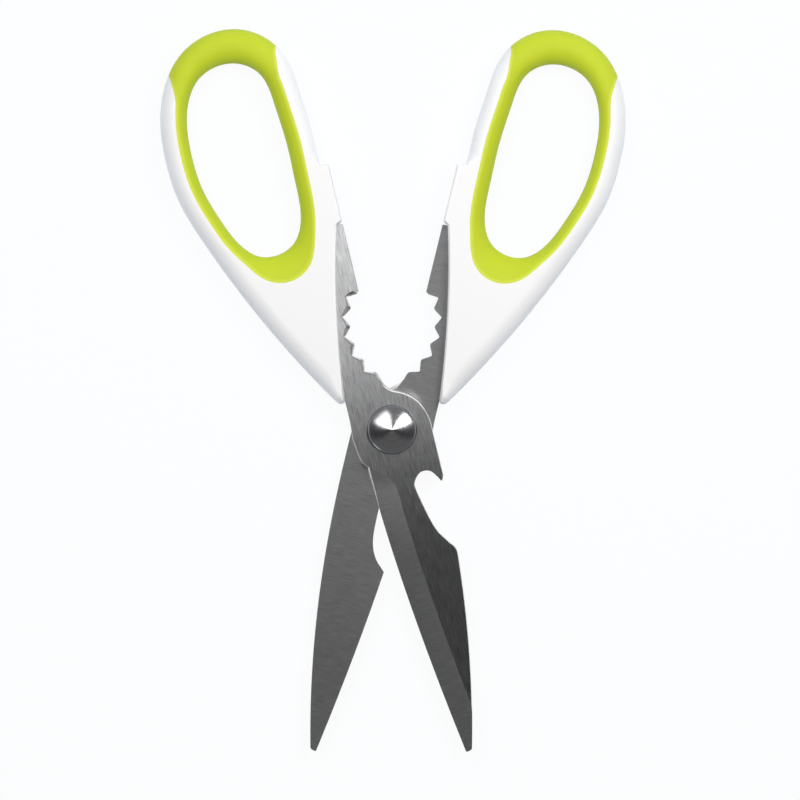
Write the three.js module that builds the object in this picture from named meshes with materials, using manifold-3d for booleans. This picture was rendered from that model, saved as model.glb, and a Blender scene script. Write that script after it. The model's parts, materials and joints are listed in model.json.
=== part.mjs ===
// Kitchen scissors with soft-lined bows, a toothed nut jaw and a bottle-opener hook.
// They lie open on a table: X to the right, Y from the pivot towards the handles, Z up.
// The origin is on the pivot axis, on the table. All sizes are in millimetres.
//
// Each half is modelled closed, in its own frame: the pivot at the origin, the closing line
// along Y, the handle at negative X, and Z measured from the plane between the two blades.
// The back half is the same, turned half a turn about Y.

import * as THREE from 'three';
import { mergeVertices } from 'three/addons/utils/BufferGeometryUtils.js';
import Module from 'manifold-3d';

const wasm = await Module();
wasm.setup();

// How far each half is turned away from the closing line, in degrees
const FRONT_ANGLE = 13.3;
const BACK_ANGLE = 13.65;

// Clearances
const BLADE_GAP = 0.2; // between the inner faces of the two blades
const CLOSING_GAP = 0.3; // between the two stop faces when the scissors are shut
const MOULD_GAP = 0.3; // between pieces that are moulded round one another
const PIVOT_PLAY = 0.1; // round the rivet
const STACK_PLAY = 0.1; // between the pieces stacked on the rivet

// Blades
const BLADE_THICKNESS = 2.2;
const BLADE_REACH = 96; // pivot to tip
const HEEL_HALF_WIDTH = 11.4; // pivot to the sides of the blade beside the rivet
const HEEL_TURN = 76; // direction in which the round part meets the jaw, degrees
const HEEL_END = 9; // pivot to the start of the cutting edge
const EDGE_START = 9.3; // closing line to the cutting edge at the heel
const EDGE_LAND = 0.3; // thickness left along the cutting edge
const GRIND_WIDTH = 6.3; // ground strip along the cutting edge
const GRIND_RUNOUT = 8.5; // how much later the ground strip starts at its inner side
const TIP_WIDTH = 2.2; // blunt end of the blade

// Bottle-opener hook in the spine of the front blade
const HOOK_REACH = 17.8; // pivot to the point of the hook
const HOOK_THROAT = 8.4; // depth of the throat from the spine
const HOOK_LENGTH = 21.2; // hook point to the lower end of its recess
const HOOK_POINT = 1; // rounding of the hook's point

// Bone notch in the edge of the back blade
const NOTCH_SETBACK = 2; // cutting edge left between the heel and the notch
const NOTCH_LENGTH = 29.7;
const NOTCH_DEPTH = 6.9;

// Toothed nut jaw between pivot and handle
const JAW_SETBACK = 18.1; // round part beside the rivet to the middle of the jaw
const JAW_RADIUS = 21; // through the roots of the teeth
const JAW_DEPTH = 7.05; // closing line to the deepest root
const TOOTH_HEIGHT = 1.9;
const TOOTH_COUNT = 5;
const TOOTH_PITCH = 15.8; // degrees
const TOOTH_TURN = 188.5; // direction of the middle tooth, degrees
const TOOTH_FLAT = 0.6; // width of the tooth tips
const TOOTH_BEVEL = 1.3; // how far the outer side of the teeth leans back
const TOOTH_LAND = 0.9; // thickness left at the tooth tips

// Handles
const HANDLE_THICKNESS = 11;
const BOW_SETBACK = 2.8; // closing line to the inner side of the bow
const HOLE_START = 56.75; // pivot to the finger hole
const HOLE_WIDTH = 27.7;
const HOLE_LENGTH = 57.5;
const RIM_SIDE = 7.75; // width of the bow beside the finger hole
const RIM_TOP = 9.8; // width of the bow at its end
const EDGE_ROUND = 3.6; // rounding of the outer edges, in plan
const EDGE_BREAK = 0.6; // rounding along the steel and the stop face
const CORNER_ROUND = 0.6; // rounding of the corners of the stop block
const MIN_FLAT = 0.5; // flat left between the rounded edge and the soft liner
const FLANK_BULGE = 1.7; // crown of the long outer side
const NOSE_Y = 10.6; // pivot to the end of the handle
const NOSE_WIDTH = 1.9;
const STEEL_BOW = 1.1; // hollow of the line where the steel leaves the handle
const STOP_BOTTOM = 62; // pivot to the lower end of the stop face
const STOP_LENGTH = 17.4;
const STOP_WIDTH = 1.6; // the part of the stop block that covers the end of the shank

// Soft liner of the bows
const SOFT_SIDE = 3.55; // width beside the finger hole
const SOFT_TOP = 4.9; // finger hole to the crest of the bow's end
const SOFT_BOTTOM = 8.7; // width of the ramp towards the blades
const SOFT_LEAN = -75; // direction of the wide ramp, degrees
const CORE_SKIN = 3; // soft thickness above and below the hard core
const CORE_OVERLAP = 1.2; // how far the core runs into the handle

// Tang of the blade inside the handle
const TANG_COVER = 4.6; // plastic left beside the tang
const TANG_ROOF = 1.8; // plastic left between the tang and the liner's core
const TANG_CORNER = 2; // bevel of the tang's corners
const ANCHOR_RADIUS = 2.2; // holes that the plastic grips through

// Pivot rivet
const RIVET_HEAD_RADIUS = 7.2;
const RIVET_HEAD_HEIGHT = 3.2;
const RIVET_RIM = 0.6; // upright rim of the domed head
const RIVET_SHANK_RADIUS = 3;
const TENON_STEP = 1; // how much thinner the tenon is than the shank
const BUTTON_RADIUS = 6.2; // rear button of the rivet
const BUTTON_FLOOR = 1; // thickness left under the tenon
const BUTTON_BEVEL = 0.5;
const WASHER_RADIUS = 6.4;
const WASHER_THICKNESS = 0.5;
const WASHER_DISH = 0.3; // height that the spring washer is dished by

// Drawing
const LOOP_STEPS = 40; // points round the finger hole
const BOW_STEPS = 36; // points round the outside of the bow
const FLANK_STEPS = 8; // points down each side of the handle
const ROUND_STEPS = 40; // points round the rivet
const EDGE_STEPS = 14; // points along the cutting edge and the spine
const THROAT_STEPS = 24; // points round the throat of the hook
const NOTCH_STEPS = 20; // points round the bone notch
const ANCHOR_STEPS = 16; // points round an anchor hole
const PROFILE_ANGLES = [-90, -62, -35, 0, 35, 62, 90]; // levels of the rounded handle, degrees

// How strongly each curve bends: the power that a share along it is raised to
const SPINE_POWER = 2.2;
const EDGE_POWER = 1.55;
const DOME_POWER = 1.7;
const LINER_POWER = 1.5;

const HALF_THICKNESS = HANDLE_THICKNESS / 2;
const STOP_TOP = STOP_BOTTOM + STOP_LENGTH;
const NOTCH_START = HEEL_END + NOTCH_SETBACK;
const TENON_RADIUS = RIVET_SHANK_RADIUS - TENON_STEP;
const INNER_FACE = BLADE_GAP / 2;
const OUTER_FACE = INNER_FACE + BLADE_THICKNESS;
const CLOSE_X = -CLOSING_GAP / 2;
const PAST = 1; // how far a cutter runs past what it cuts

const vec = (x, y) => new THREE.Vector2(x, y);
const radians = THREE.MathUtils.degToRad;
const polar = (degrees) => vec(Math.cos(radians(degrees)), Math.sin(radians(degrees)));
const spline = (points, steps) => new THREE.SplineCurve(points).getPoints(steps);
const sampled = (from, to, steps, place) =>
  Array.from({ length: steps + 1 }, (_, i) => place(THREE.MathUtils.lerp(from, to, i / steps)));

// Materials
const steel = new THREE.MeshStandardMaterial({ color: 0x9a9a9c, roughness: 0.32, metalness: 1 });
const polished = new THREE.MeshStandardMaterial({ color: 0xb4b4b6, roughness: 0.16, metalness: 1 });
const whitePlastic = new THREE.MeshStandardMaterial({ color: 0xf4f2f1, roughness: 0.32, metalness: 0 });
const limeRubber = new THREE.MeshStandardMaterial({ color: 0xc6d82e, roughness: 0.5, metalness: 0 });

// Closed body through a stack of loops: each level has z, an outer loop and a list of holes
function stack(levels) {
  const turned = (loop, clockwise) =>
    THREE.ShapeUtils.isClockWise(loop) === clockwise ? loop : [...loop].reverse();
  const sorted = levels.map(({ z, outer, holes = [] }) => ({
    z,
    loops: [turned(outer, false), ...holes.map((hole) => turned(hole, true))],
  }));
  const vertices = [];
  const triangles = [];
  const starts = sorted.map(({ z, loops }) => {
    const first = vertices.length / 3;
    loops.flat().forEach((point) => vertices.push(point.x, point.y, z));
    return first;
  });
  const capped = (level, upwards) => {
    const [outer, ...holes] = sorted[level].loops;
    for (const [a, b, c] of THREE.ShapeUtils.triangulateShape(outer, holes)) {
      const face = upwards ? [a, b, c] : [c, b, a];
      triangles.push(...face.map((index) => starts[level] + index));
    }
  };
  capped(0, false);
  for (let level = 1; level < sorted.length; level += 1) {
    let offset = 0;
    for (const loop of sorted[level].loops) {
      for (let i = 0; i < loop.length; i += 1) {
        const next = (i + 1) % loop.length;
        const low = starts[level - 1] + offset;
        const high = starts[level] + offset;
        triangles.push(low + i, low + next, high + next, low + i, high + next, high + i);
      }
      offset += loop.length;
    }
  }
  capped(sorted.length - 1, true);
  const geometry = new THREE.BufferGeometry();
  geometry.setAttribute('position', new THREE.Float32BufferAttribute(vertices, 3));
  geometry.setIndex(triangles);
  return geometry;
}

function solid(geometry) {
  const bare = geometry.clone();
  bare.deleteAttribute('normal');
  bare.deleteAttribute('uv');
  const merged = mergeVertices(bare, 1e-5);
  return new wasm.Manifold(new wasm.Mesh({
    numProp: 3,
    vertProperties: new Float32Array(merged.attributes.position.array),
    triVerts: new Uint32Array(merged.index.array),
  }));
}

const plate = (outer, low, high, holes = []) =>
  solid(stack([{ z: low, outer, holes }, { z: high, outer, holes }]));

function geometryOf(body) {
  const { numProp, vertProperties, triVerts } = body.getMesh();
  const geometry = new THREE.BufferGeometry();
  const positions = [];
  for (let i = 0; i < vertProperties.length; i += numProp) {
    positions.push(...vertProperties.slice(i, i + 3));
  }
  geometry.setAttribute('position', new THREE.Float32BufferAttribute(positions, 3));
  geometry.setIndex([...triVerts]);
  geometry.computeVertexNormals();
  return geometry;
}

function circle(centre, radius, steps = ROUND_STEPS) {
  return Array.from({ length: steps }, (_, i) =>
    polar((360 * i) / steps).multiplyScalar(radius).add(centre));
}

// Moves each point of a closed loop along its outward normal by its own distance
function offsetLoop(loop, distance) {
  const sign = THREE.ShapeUtils.isClockWise(loop) ? -1 : 1;
  return loop.map((point, i) => {
    const before = loop[(i + loop.length - 1) % loop.length];
    const after = loop[(i + 1) % loop.length];
    const along = after.clone().sub(before).normalize();
    const outward = vec(along.y, -along.x).multiplyScalar(sign);
    const amount = typeof distance === 'function' ? distance(outward, i) : distance;
    return point.clone().addScaledVector(outward, amount);
  });
}

// The finger hole: an egg, in shares of its half width and half length, from the left
// side down round the blade end, up the inner side and back over the bow's end
const HOLE_SHAPE = [
  [-1, 0.2], [-0.935, -0.19], [-0.735, -0.505], [-0.42, -0.825], [-0.09, -0.97], [0.275, -0.995],
  [0.665, -0.915], [0.905, -0.71], [0.98, -0.33], [0.99, 0.085], [0.93, 0.49], [0.76, 0.835],
  [0.435, 0.965], [0, 1], [-0.5, 0.91], [-0.84, 0.675],
];
const bowCentre = vec(-BOW_SETBACK - RIM_SIDE - HOLE_WIDTH / 2, HOLE_START + HOLE_LENGTH / 2);

const holeCurve = new THREE.CatmullRomCurve3(HOLE_SHAPE.map(([x, y]) => new THREE.Vector3(
  bowCentre.x + (x * HOLE_WIDTH) / 2, bowCentre.y + (y * HOLE_LENGTH) / 2, 0)), true, 'centripetal');

// Point at a share of the way round the finger hole, moved outwards by a width
function besideHole(wayRound, width) {
  const share = THREE.MathUtils.euclideanModulo(wayRound, 1);
  const point = holeCurve.getPoint(share);
  const along = holeCurve.getTangent(share);
  const outward = vec(along.y, -along.x).normalize();
  return vec(point.x, point.y).addScaledVector(outward, width(outward));
}

const noWidth = () => 0;
const rimWidth = (outward) => RIM_SIDE + (RIM_TOP - RIM_SIDE) * Math.max(0, outward.y) ** 2;
function softWidth(outward) {
  const down = Math.max(0, outward.dot(polar(SOFT_LEAN)));
  const up = Math.max(0, outward.y);
  return SOFT_SIDE + (SOFT_BOTTOM - SOFT_SIDE) * down ** 2 + (SOFT_TOP - SOFT_SIDE) * up ** 2;
}

function loopBesideHole(width) {
  return Array.from({ length: LOOP_STEPS }, (_, i) => besideHole(i / LOOP_STEPS, width));
}

const fingerHole = loopBesideHole(noWidth);
const softCrest = loopBesideHole(softWidth);
const between = (share) => fingerHole.map((point, i) => point.clone().lerp(softCrest[i], share));

// Shares of the way round the finger hole
const FLANK_SHARE = 1.125; // where the bow runs into the long outer side
const INNER_SHARE = 0.5; // beside the stop block, which cuts the bow short
const OUTER_TONGUE_SHARES = [0.9375, 0.906]; // where the plastic leaves the liner and reaches the outline
const INNER_TONGUE_SHARES = [0.65, 0.703];
const TANG_ROOF_SHARES = [0.3125, 0.35, 0.3875]; // under the liner, where the tang ends

const noseOuter = vec(-HEEL_HALF_WIDTH - NOSE_WIDTH, NOSE_Y);
const noseInner = vec(-HEEL_HALF_WIDTH, NOSE_Y);
const flankTop = besideHole(FLANK_SHARE, rimWidth);
const flankAlong = noseOuter.clone().sub(flankTop).normalize();
const flankMiddle = noseOuter.clone().add(flankTop).multiplyScalar(0.5)
  .addScaledVector(vec(flankAlong.y, -flankAlong.x), 2 * FLANK_BULGE);
const flankCurve = new THREE.QuadraticBezierCurve(noseOuter, flankMiddle, flankTop);

const steelTop = vec(CLOSE_X - STOP_WIDTH, STOP_BOTTOM - CORNER_ROUND);
const steelMiddle = noseInner.clone().add(steelTop).multiplyScalar(0.5).add(vec(-2 * STEEL_BOW, 0));
const steelCurve = new THREE.QuadraticBezierCurve(steelTop, steelMiddle, noseInner);

// Outline of handle and liner together, with the edge rounding wanted at each point
function handleOutline() {
  const full = Math.min(EDGE_ROUND, RIM_SIDE - SOFT_SIDE - MIN_FLAT, RIM_TOP - SOFT_TOP - MIN_FLAT);
  const points = [];
  const add = (point, round) => points.push({ point, round });
  const noseSteps = 2; // steps in which the rounding grows from the nose
  flankCurve.getPoints(FLANK_STEPS).slice(0, -1).forEach((point, i) => {
    add(point, THREE.MathUtils.lerp(EDGE_BREAK, full, Math.min(1, i / noseSteps)));
  });
  const stepTop = STOP_TOP + full;
  sampled(FLANK_SHARE, INNER_SHARE, BOW_STEPS, (share) => besideHole(share, rimWidth))
    .filter((point) => point.x < bowCentre.x || point.y > stepTop)
    .forEach((point) => add(point, full));
  const innerX = points.at(-1).point.x;
  add(vec(innerX, STOP_TOP + CORNER_ROUND), full / 2);
  add(vec(innerX + CORNER_ROUND, STOP_TOP), full / 3);
  add(vec(CLOSE_X - CORNER_ROUND, STOP_TOP), EDGE_BREAK);
  add(vec(CLOSE_X, STOP_TOP - CORNER_ROUND), EDGE_BREAK);
  add(vec(CLOSE_X, STOP_BOTTOM + STOP_LENGTH / 2), EDGE_BREAK);
  add(vec(CLOSE_X, STOP_BOTTOM + CORNER_ROUND), EDGE_BREAK);
  add(vec(CLOSE_X - CORNER_ROUND, STOP_BOTTOM), EDGE_BREAK);
  steelCurve.getPoints(FLANK_STEPS).forEach((point) => add(point, EDGE_BREAK));
  return points;
}

// Handle and liner as one rounded body with its finger hole
function roundedHandle() {
  const outline = handleOutline();
  const loop = outline.map(({ point }) => point);
  return solid(stack(PROFILE_ANGLES.map((degrees) => {
    const height = Math.sin(radians(degrees));
    const inset = 1 - Math.cos(radians(degrees));
    return {
      z: HALF_THICKNESS * height,
      outer: offsetLoop(loop, (_, i) => -outline[i].round * inset),
      holes: [between(Math.abs(height) ** LINER_POWER)],
    };
  })));
}

// Outline of the space that the liner takes: the crest round the hole, open over the bow's end
function softZone(inset) {
  const [outerLeave, outerReach] = OUTER_TONGUE_SHARES;
  const [innerLeave, innerReach] = INNER_TONGUE_SHARES;
  const width = (outward) => softWidth(outward) - inset;
  const wide = (outward) => rimWidth(outward) + 2 * PAST;
  const start = outerLeave - 1;
  const points = sampled(start, innerLeave, LOOP_STEPS, (share) => besideHole(share, width));
  const tongueEnd = (leave, reach, towardsTop) => {
    const corner = besideHole(leave + (reach - leave) * 0.5, width);
    const end = besideHole(reach + (towardsTop * inset) / HOLE_LENGTH / 2, wide);
    return new THREE.QuadraticBezierCurve(besideHole(leave, width), corner, end).getPoints(4).slice(1);
  };
  points.push(...tongueEnd(innerLeave, innerReach, 1));
  const top = bowCentre.y + HOLE_LENGTH / 2 + 2 * RIM_TOP;
  const left = tongueEnd(outerLeave, outerReach, -1).reverse();
  points.push(vec(points.at(-1).x, top), vec(left[0].x, top), ...left);
  return points;
}

// Hard core that carries the liner all the way round the finger hole
function linerCore(grow) {
  const half = HALF_THICKNESS - CORE_SKIN + grow;
  const outer = offsetLoop(softCrest, CORE_OVERLAP + grow);
  const inner = offsetLoop(between(0.5), -grow);
  return plate(outer, -half, half, [inner]);
}

const zoneLow = -HALF_THICKNESS - PAST;
const zoneHigh = HALF_THICKNESS + PAST;

// Tang: what is left of the shank inside the handle, clear of its outer side and of the liner
const roofWidth = (outward) => softWidth(outward) + CORE_OVERLAP + TANG_ROOF;
const tangRoof = TANG_ROOF_SHARES.map((share) => besideHole(share, roofWidth));
const tangShoulder = flankCurve.getPoint(0.16).add(vec(TANG_COVER, 0));
const tangWaist = flankCurve.getPoint(0.42).add(vec(TANG_COVER, 0));

const tangOutline = () => [
  vec(-HEEL_HALF_WIDTH, NOSE_Y + TANG_CORNER),
  tangShoulder,
  tangWaist,
  vec(tangWaist.x, tangRoof[0].y - TANG_CORNER),
  vec(tangWaist.x + TANG_CORNER, tangRoof[0].y),
  ...tangRoof,
  vec(steelTop.x - STOP_WIDTH, steelTop.y),
];

// Anchor holes: two up the middle of the tang and one under the inner end of its roof
function anchorCentres() {
  const steelSide = steelCurve.getPoint(0.62);
  const steelHigh = steelCurve.getPoint(0.34);
  return [
    tangShoulder.clone().lerp(tangWaist, 0.7).lerp(steelSide, 0.5),
    tangWaist.clone().lerp(tangRoof[0], 0.5).lerp(steelHigh, 0.4),
    tangRoof[1].clone().lerp(steelHigh, 0.5),
  ];
}

const jawCentre = vec(JAW_RADIUS - JAW_DEPTH, HEEL_HALF_WIDTH + JAW_SETBACK);
const onJaw = (degrees, radius) => polar(degrees).multiplyScalar(radius).add(jawCentre);

// Toothed edge of the jaw from the shank down to the pivot
function jawEdge() {
  const tipRadius = JAW_RADIUS - TOOTH_HEIGHT;
  const halfTip = THREE.MathUtils.radToDeg(TOOTH_FLAT / 2 / tipRadius);
  const first = TOOTH_TURN - ((TOOTH_COUNT - 1) / 2) * TOOTH_PITCH;
  const points = [];
  for (let tooth = 0; tooth < TOOTH_COUNT; tooth += 1) {
    const turn = first + tooth * TOOTH_PITCH;
    points.push(onJaw(turn - TOOTH_PITCH / 2, JAW_RADIUS));
    points.push(onJaw(turn - halfTip, tipRadius));
    points.push(onJaw(turn + halfTip, tipRadius));
  }
  const entry = points[0];
  return [
    vec(CLOSE_X, entry.y + 2.5 * CORNER_ROUND),
    vec(CLOSE_X - CORNER_ROUND, entry.y + 1.5 * CORNER_ROUND),
    vec(entry.x + TOOTH_HEIGHT / 2, entry.y + CORNER_ROUND),
    ...points,
  ];
}

// Top of the round part beside the rivet, from the jaw to the spine
function heelTop() {
  const lastTooth = jawEdge().at(-1);
  const onHeel = (degrees) => polar(degrees).multiplyScalar(HEEL_HALF_WIDTH);
  const shoulder = onHeel(HEEL_TURN);
  const fall = lastTooth.clone().lerp(shoulder, 0.5);
  const fillet = new THREE.QuadraticBezierCurve(
    vec(lastTooth.x, fall.y).lerp(fall, 0.3), vec(fall.x, shoulder.y).lerp(fall, 0.1), shoulder);
  return [...fillet.getPoints(4), ...sampled(HEEL_TURN * 0.8, 0, 5, onHeel)];
}

function spinePoint(along) {
  const share = (along - HEEL_END) / (BLADE_REACH - HEEL_END);
  const end = TIP_WIDTH / 2;
  return vec(HEEL_HALF_WIDTH - (HEEL_HALF_WIDTH - end) * Math.max(0, share) ** SPINE_POWER, -along);
}

function edgePoint(along) {
  const share = (along - HEEL_END) / (BLADE_REACH - HEEL_END);
  const end = -TIP_WIDTH / 4;
  return vec(-EDGE_START + (EDGE_START + end) * share ** EDGE_POWER, -along);
}

const spineEnd = BLADE_REACH - TIP_WIDTH / 2;
const plainSpine = () => sampled(HEEL_END, spineEnd, EDGE_STEPS, spinePoint);

// Spine with the hook: a round throat behind the point, then a long slope back to the spine
function hookedSpine() {
  const place = (depth, along) => vec(HEEL_HALF_WIDTH - depth, -HOOK_REACH - along);
  const throat = spline([
    place(HOOK_THROAT * 0.2, HOOK_LENGTH * -0.065),
    place(HOOK_THROAT * 0.42, HOOK_LENGTH * -0.17),
    place(HOOK_THROAT * 0.74, HOOK_LENGTH * -0.18),
    place(HOOK_THROAT * 0.99, HOOK_LENGTH * -0.075),
    place(HOOK_THROAT, HOOK_LENGTH * 0.065),
    place(HOOK_THROAT * 0.69, HOOK_LENGTH * 0.58),
    place(HOOK_THROAT * 0.31, HOOK_LENGTH * 0.84),
  ], THROAT_STEPS);
  return [
    place(-HOOK_POINT * 0.1, -1.6 * HOOK_POINT),
    place(HOOK_POINT * 0.4, -0.3 * HOOK_POINT),
    place(HOOK_POINT, 0),
    ...throat,
    ...sampled(HOOK_REACH + HOOK_LENGTH * 0.93, spineEnd, EDGE_STEPS, spinePoint),
  ];
}

const plainEdge = () => sampled(BLADE_REACH, HEEL_END, EDGE_STEPS, edgePoint);

// Cutting edge with a long rounded notch next to the pivot
function notchedEdge() {
  const end = NOTCH_START + NOTCH_LENGTH;
  const deep = (share, depth) => edgePoint(NOTCH_START + share * NOTCH_LENGTH).add(vec(depth, 0));
  const notch = spline([
    deep(1, 0),
    deep(0.88, NOTCH_DEPTH * 0.54),
    deep(0.72, NOTCH_DEPTH * 0.86),
    deep(0.48, NOTCH_DEPTH),
    deep(0.3, NOTCH_DEPTH),
    deep(0.12, NOTCH_DEPTH * 0.7),
    deep(0, 0),
  ], NOTCH_STEPS);
  return [
    ...sampled(BLADE_REACH, end + CORNER_ROUND, EDGE_STEPS, edgePoint),
    ...notch,
    edgePoint(HEEL_END),
  ];
}

// Side of the heel from the cutting edge back up into the handle
const heelSide = () => [
  vec(-HEEL_HALF_WIDTH + CORNER_ROUND, -HEEL_END + 3 * CORNER_ROUND),
  vec(-HEEL_HALF_WIDTH - CORNER_ROUND / 2, 0),
  vec(-HEEL_HALF_WIDTH, NOSE_Y / 2),
];

function bladeOutline(spine, edge) {
  const shankTop = vec(CLOSE_X, steelTop.y);
  return [...jawEdge(), ...heelTop(), ...spine, ...edge, ...heelSide(), ...tangOutline(), shankTop];
}

// Wedge of steel ground away on the outer face along the whole cutting edge
function grindCutter() {
  const rise = (BLADE_THICKNESS - EDGE_LAND + PAST) / (BLADE_THICKNESS - EDGE_LAND);
  const past = BLADE_REACH + TIP_WIDTH;
  const clear = -EDGE_START - HEEL_HALF_WIDTH;
  const line = (width, start) => {
    const edge = sampled(start, past, EDGE_STEPS, edgePoint).map((point) => point.add(vec(width, 0)));
    return [...edge, vec(clear, -past), vec(clear, -start)];
  };
  return solid(stack([
    { z: INNER_FACE + EDGE_LAND, outer: line(0, HEEL_END) },
    { z: OUTER_FACE + PAST, outer: line(GRIND_WIDTH * rise, HEEL_END + GRIND_RUNOUT * rise) },
  ]));
}

// Cone that leans the outer side of the teeth back
function toothCutter() {
  const low = INNER_FACE + TOOTH_LAND;
  const tipRadius = JAW_RADIUS - TOOTH_HEIGHT;
  const rise = (OUTER_FACE + PAST - low) / (OUTER_FACE - low);
  return solid(stack([
    { z: low, outer: circle(jawCentre, tipRadius) },
    { z: OUTER_FACE + PAST, outer: circle(jawCentre, tipRadius + TOOTH_BEVEL * rise) },
  ]));
}

function blade(spine, edge) {
  const holes = [circle(vec(0, 0), RIVET_SHANK_RADIUS + PIVOT_PLAY)];
  anchorCentres().forEach((centre) => holes.push(circle(centre, ANCHOR_RADIUS, ANCHOR_STEPS)));
  return plate(bladeOutline(spine, edge), INNER_FACE, OUTER_FACE, holes)
    .subtract(grindCutter())
    .subtract(toothCutter());
}

// Room for the tang in the handle, crossed by the plastic in the anchor holes
function tangPocket() {
  const low = INNER_FACE - MOULD_GAP;
  const high = OUTER_FACE + MOULD_GAP;
  const outline = bladeOutline(plainSpine(), plainEdge());
  const holes = anchorCentres().map((centre) => circle(centre, ANCHOR_RADIUS - MOULD_GAP, ANCHOR_STEPS));
  return plate(offsetLoop(outline, MOULD_GAP), low, high, holes);
}

function handle() {
  const zone = plate(softZone(0), zoneLow, zoneHigh);
  return roundedHandle().subtract(zone).add(linerCore(0)).subtract(tangPocket());
}

function liner() {
  const zone = plate(softZone(MOULD_GAP), zoneLow, zoneHigh);
  return roundedHandle().intersect(zone).subtract(linerCore(MOULD_GAP));
}

const lathed = (profile) =>
  new THREE.LatheGeometry(profile.map(([radius, z]) => vec(radius, z)), ROUND_STEPS).rotateX(Math.PI / 2);

const buttonTop = -OUTER_FACE - 2 * STACK_PLAY - WASHER_THICKNESS - WASHER_DISH;
const socketFloor = -HALF_THICKNESS + BUTTON_FLOOR;

// Domed head, shank and tenon in one piece
function rivet() {
  const headLow = OUTER_FACE + STACK_PLAY;
  const shoulder = buttonTop + STACK_PLAY;
  const dome = [0.97, 0.85, 0.66, 0.42, 0.2].map((share) => [
    RIVET_HEAD_RADIUS * share,
    headLow + RIVET_RIM + (RIVET_HEAD_HEIGHT - RIVET_RIM) * (1 - share ** DOME_POWER),
  ]);
  return lathed([
    [0, socketFloor + STACK_PLAY],
    [TENON_RADIUS, socketFloor + STACK_PLAY],
    [TENON_RADIUS, shoulder],
    [RIVET_SHANK_RADIUS, shoulder],
    [RIVET_SHANK_RADIUS, headLow],
    [RIVET_HEAD_RADIUS, headLow],
    [RIVET_HEAD_RADIUS, headLow + RIVET_RIM * 0.7],
    ...dome,
    [0, headLow + RIVET_HEAD_HEIGHT],
  ]);
}

// Rear button pressed on the tenon, its flat face on the table
function rearButton() {
  return lathed([
    [0, -HALF_THICKNESS],
    [BUTTON_RADIUS - BUTTON_BEVEL, -HALF_THICKNESS],
    [BUTTON_RADIUS, -HALF_THICKNESS + BUTTON_BEVEL],
    [BUTTON_RADIUS, buttonTop],
    [TENON_RADIUS + PIVOT_PLAY, buttonTop],
    [TENON_RADIUS + PIVOT_PLAY, socketFloor],
    [0, socketFloor],
  ]);
}

// Dished spring washer between the back blade and the rear button
function springWasher() {
  const low = buttonTop + STACK_PLAY;
  const bore = RIVET_SHANK_RADIUS + 2 * PIVOT_PLAY;
  return lathed([
    [bore, low + WASHER_DISH],
    [WASHER_RADIUS, low],
    [WASHER_RADIUS, low + WASHER_THICKNESS],
    [bore, low + WASHER_DISH + WASHER_THICKNESS],
    [bore, low + WASHER_DISH],
  ]);
}

function piece(name, geometry, material) {
  const mesh = new THREE.Mesh(geometry, material);
  mesh.name = name;
  return mesh;
}

const handleGeometry = geometryOf(handle());
const linerGeometry = geometryOf(liner());

// One half at its angle, its pieces named for it
function half(name, angle, bladeBody) {
  const group = new THREE.Group();
  group.rotation.z = radians(angle);
  const pieces = new THREE.Group();
  pieces.add(piece(`${name}_blade`, geometryOf(bladeBody), steel.clone()));
  pieces.add(piece(`${name}_handle`, handleGeometry, whitePlastic.clone()));
  pieces.add(piece(`${name}_grip`, linerGeometry, limeRubber.clone()));
  group.add(pieces);
  return { group, pieces };
}

const front = half('front', FRONT_ANGLE, blade(hookedSpine(), plainEdge()));
const back = half('back', -BACK_ANGLE, blade(plainSpine(), notchedEdge()));
back.pieces.rotation.y = Math.PI;

const scissors = new THREE.Group();
scissors.position.z = HALF_THICKNESS;
scissors.add(front.group, back.group);
scissors.add(piece('pivot_rivet', rivet(), polished));
scissors.add(piece('pivot_button', rearButton(), polished.clone()));
scissors.add(piece('spring_washer', springWasher(), steel));

export default scissors;
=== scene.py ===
"""Looks of a pair of kitchen scissors: white handles lined with lime rubber, and brushed steel blades."""
import json
import math

import bmesh
import bpy
import numpy as np
from bpy.props import FloatProperty, FloatVectorProperty, IntProperty, PointerProperty
from bpy.types import Operator, Panel, PropertyGroup
from mathutils import Matrix, Vector
from mathutils.geometry import tessellate_polygon


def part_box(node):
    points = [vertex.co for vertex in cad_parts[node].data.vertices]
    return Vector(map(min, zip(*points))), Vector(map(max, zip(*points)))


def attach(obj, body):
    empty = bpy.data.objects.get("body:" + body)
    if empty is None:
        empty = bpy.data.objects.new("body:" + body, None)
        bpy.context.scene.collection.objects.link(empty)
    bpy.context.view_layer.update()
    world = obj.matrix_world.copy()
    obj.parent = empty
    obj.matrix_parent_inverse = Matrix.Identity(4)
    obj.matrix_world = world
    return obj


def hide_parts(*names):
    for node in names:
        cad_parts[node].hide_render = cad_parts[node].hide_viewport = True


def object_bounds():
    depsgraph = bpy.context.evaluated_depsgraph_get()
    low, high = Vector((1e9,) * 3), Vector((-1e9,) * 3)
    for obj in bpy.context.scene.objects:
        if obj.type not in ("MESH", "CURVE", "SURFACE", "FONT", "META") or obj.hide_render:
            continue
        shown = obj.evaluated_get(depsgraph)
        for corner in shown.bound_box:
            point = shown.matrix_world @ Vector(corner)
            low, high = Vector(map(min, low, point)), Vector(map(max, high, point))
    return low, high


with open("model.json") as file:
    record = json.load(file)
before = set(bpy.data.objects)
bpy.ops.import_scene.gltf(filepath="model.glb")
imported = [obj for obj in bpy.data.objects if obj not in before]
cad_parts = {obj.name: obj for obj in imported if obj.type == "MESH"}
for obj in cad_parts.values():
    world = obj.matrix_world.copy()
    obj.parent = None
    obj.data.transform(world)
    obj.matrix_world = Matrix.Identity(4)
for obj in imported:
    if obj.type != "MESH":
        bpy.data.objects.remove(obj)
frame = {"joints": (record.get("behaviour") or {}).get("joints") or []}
cad_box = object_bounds()

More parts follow.
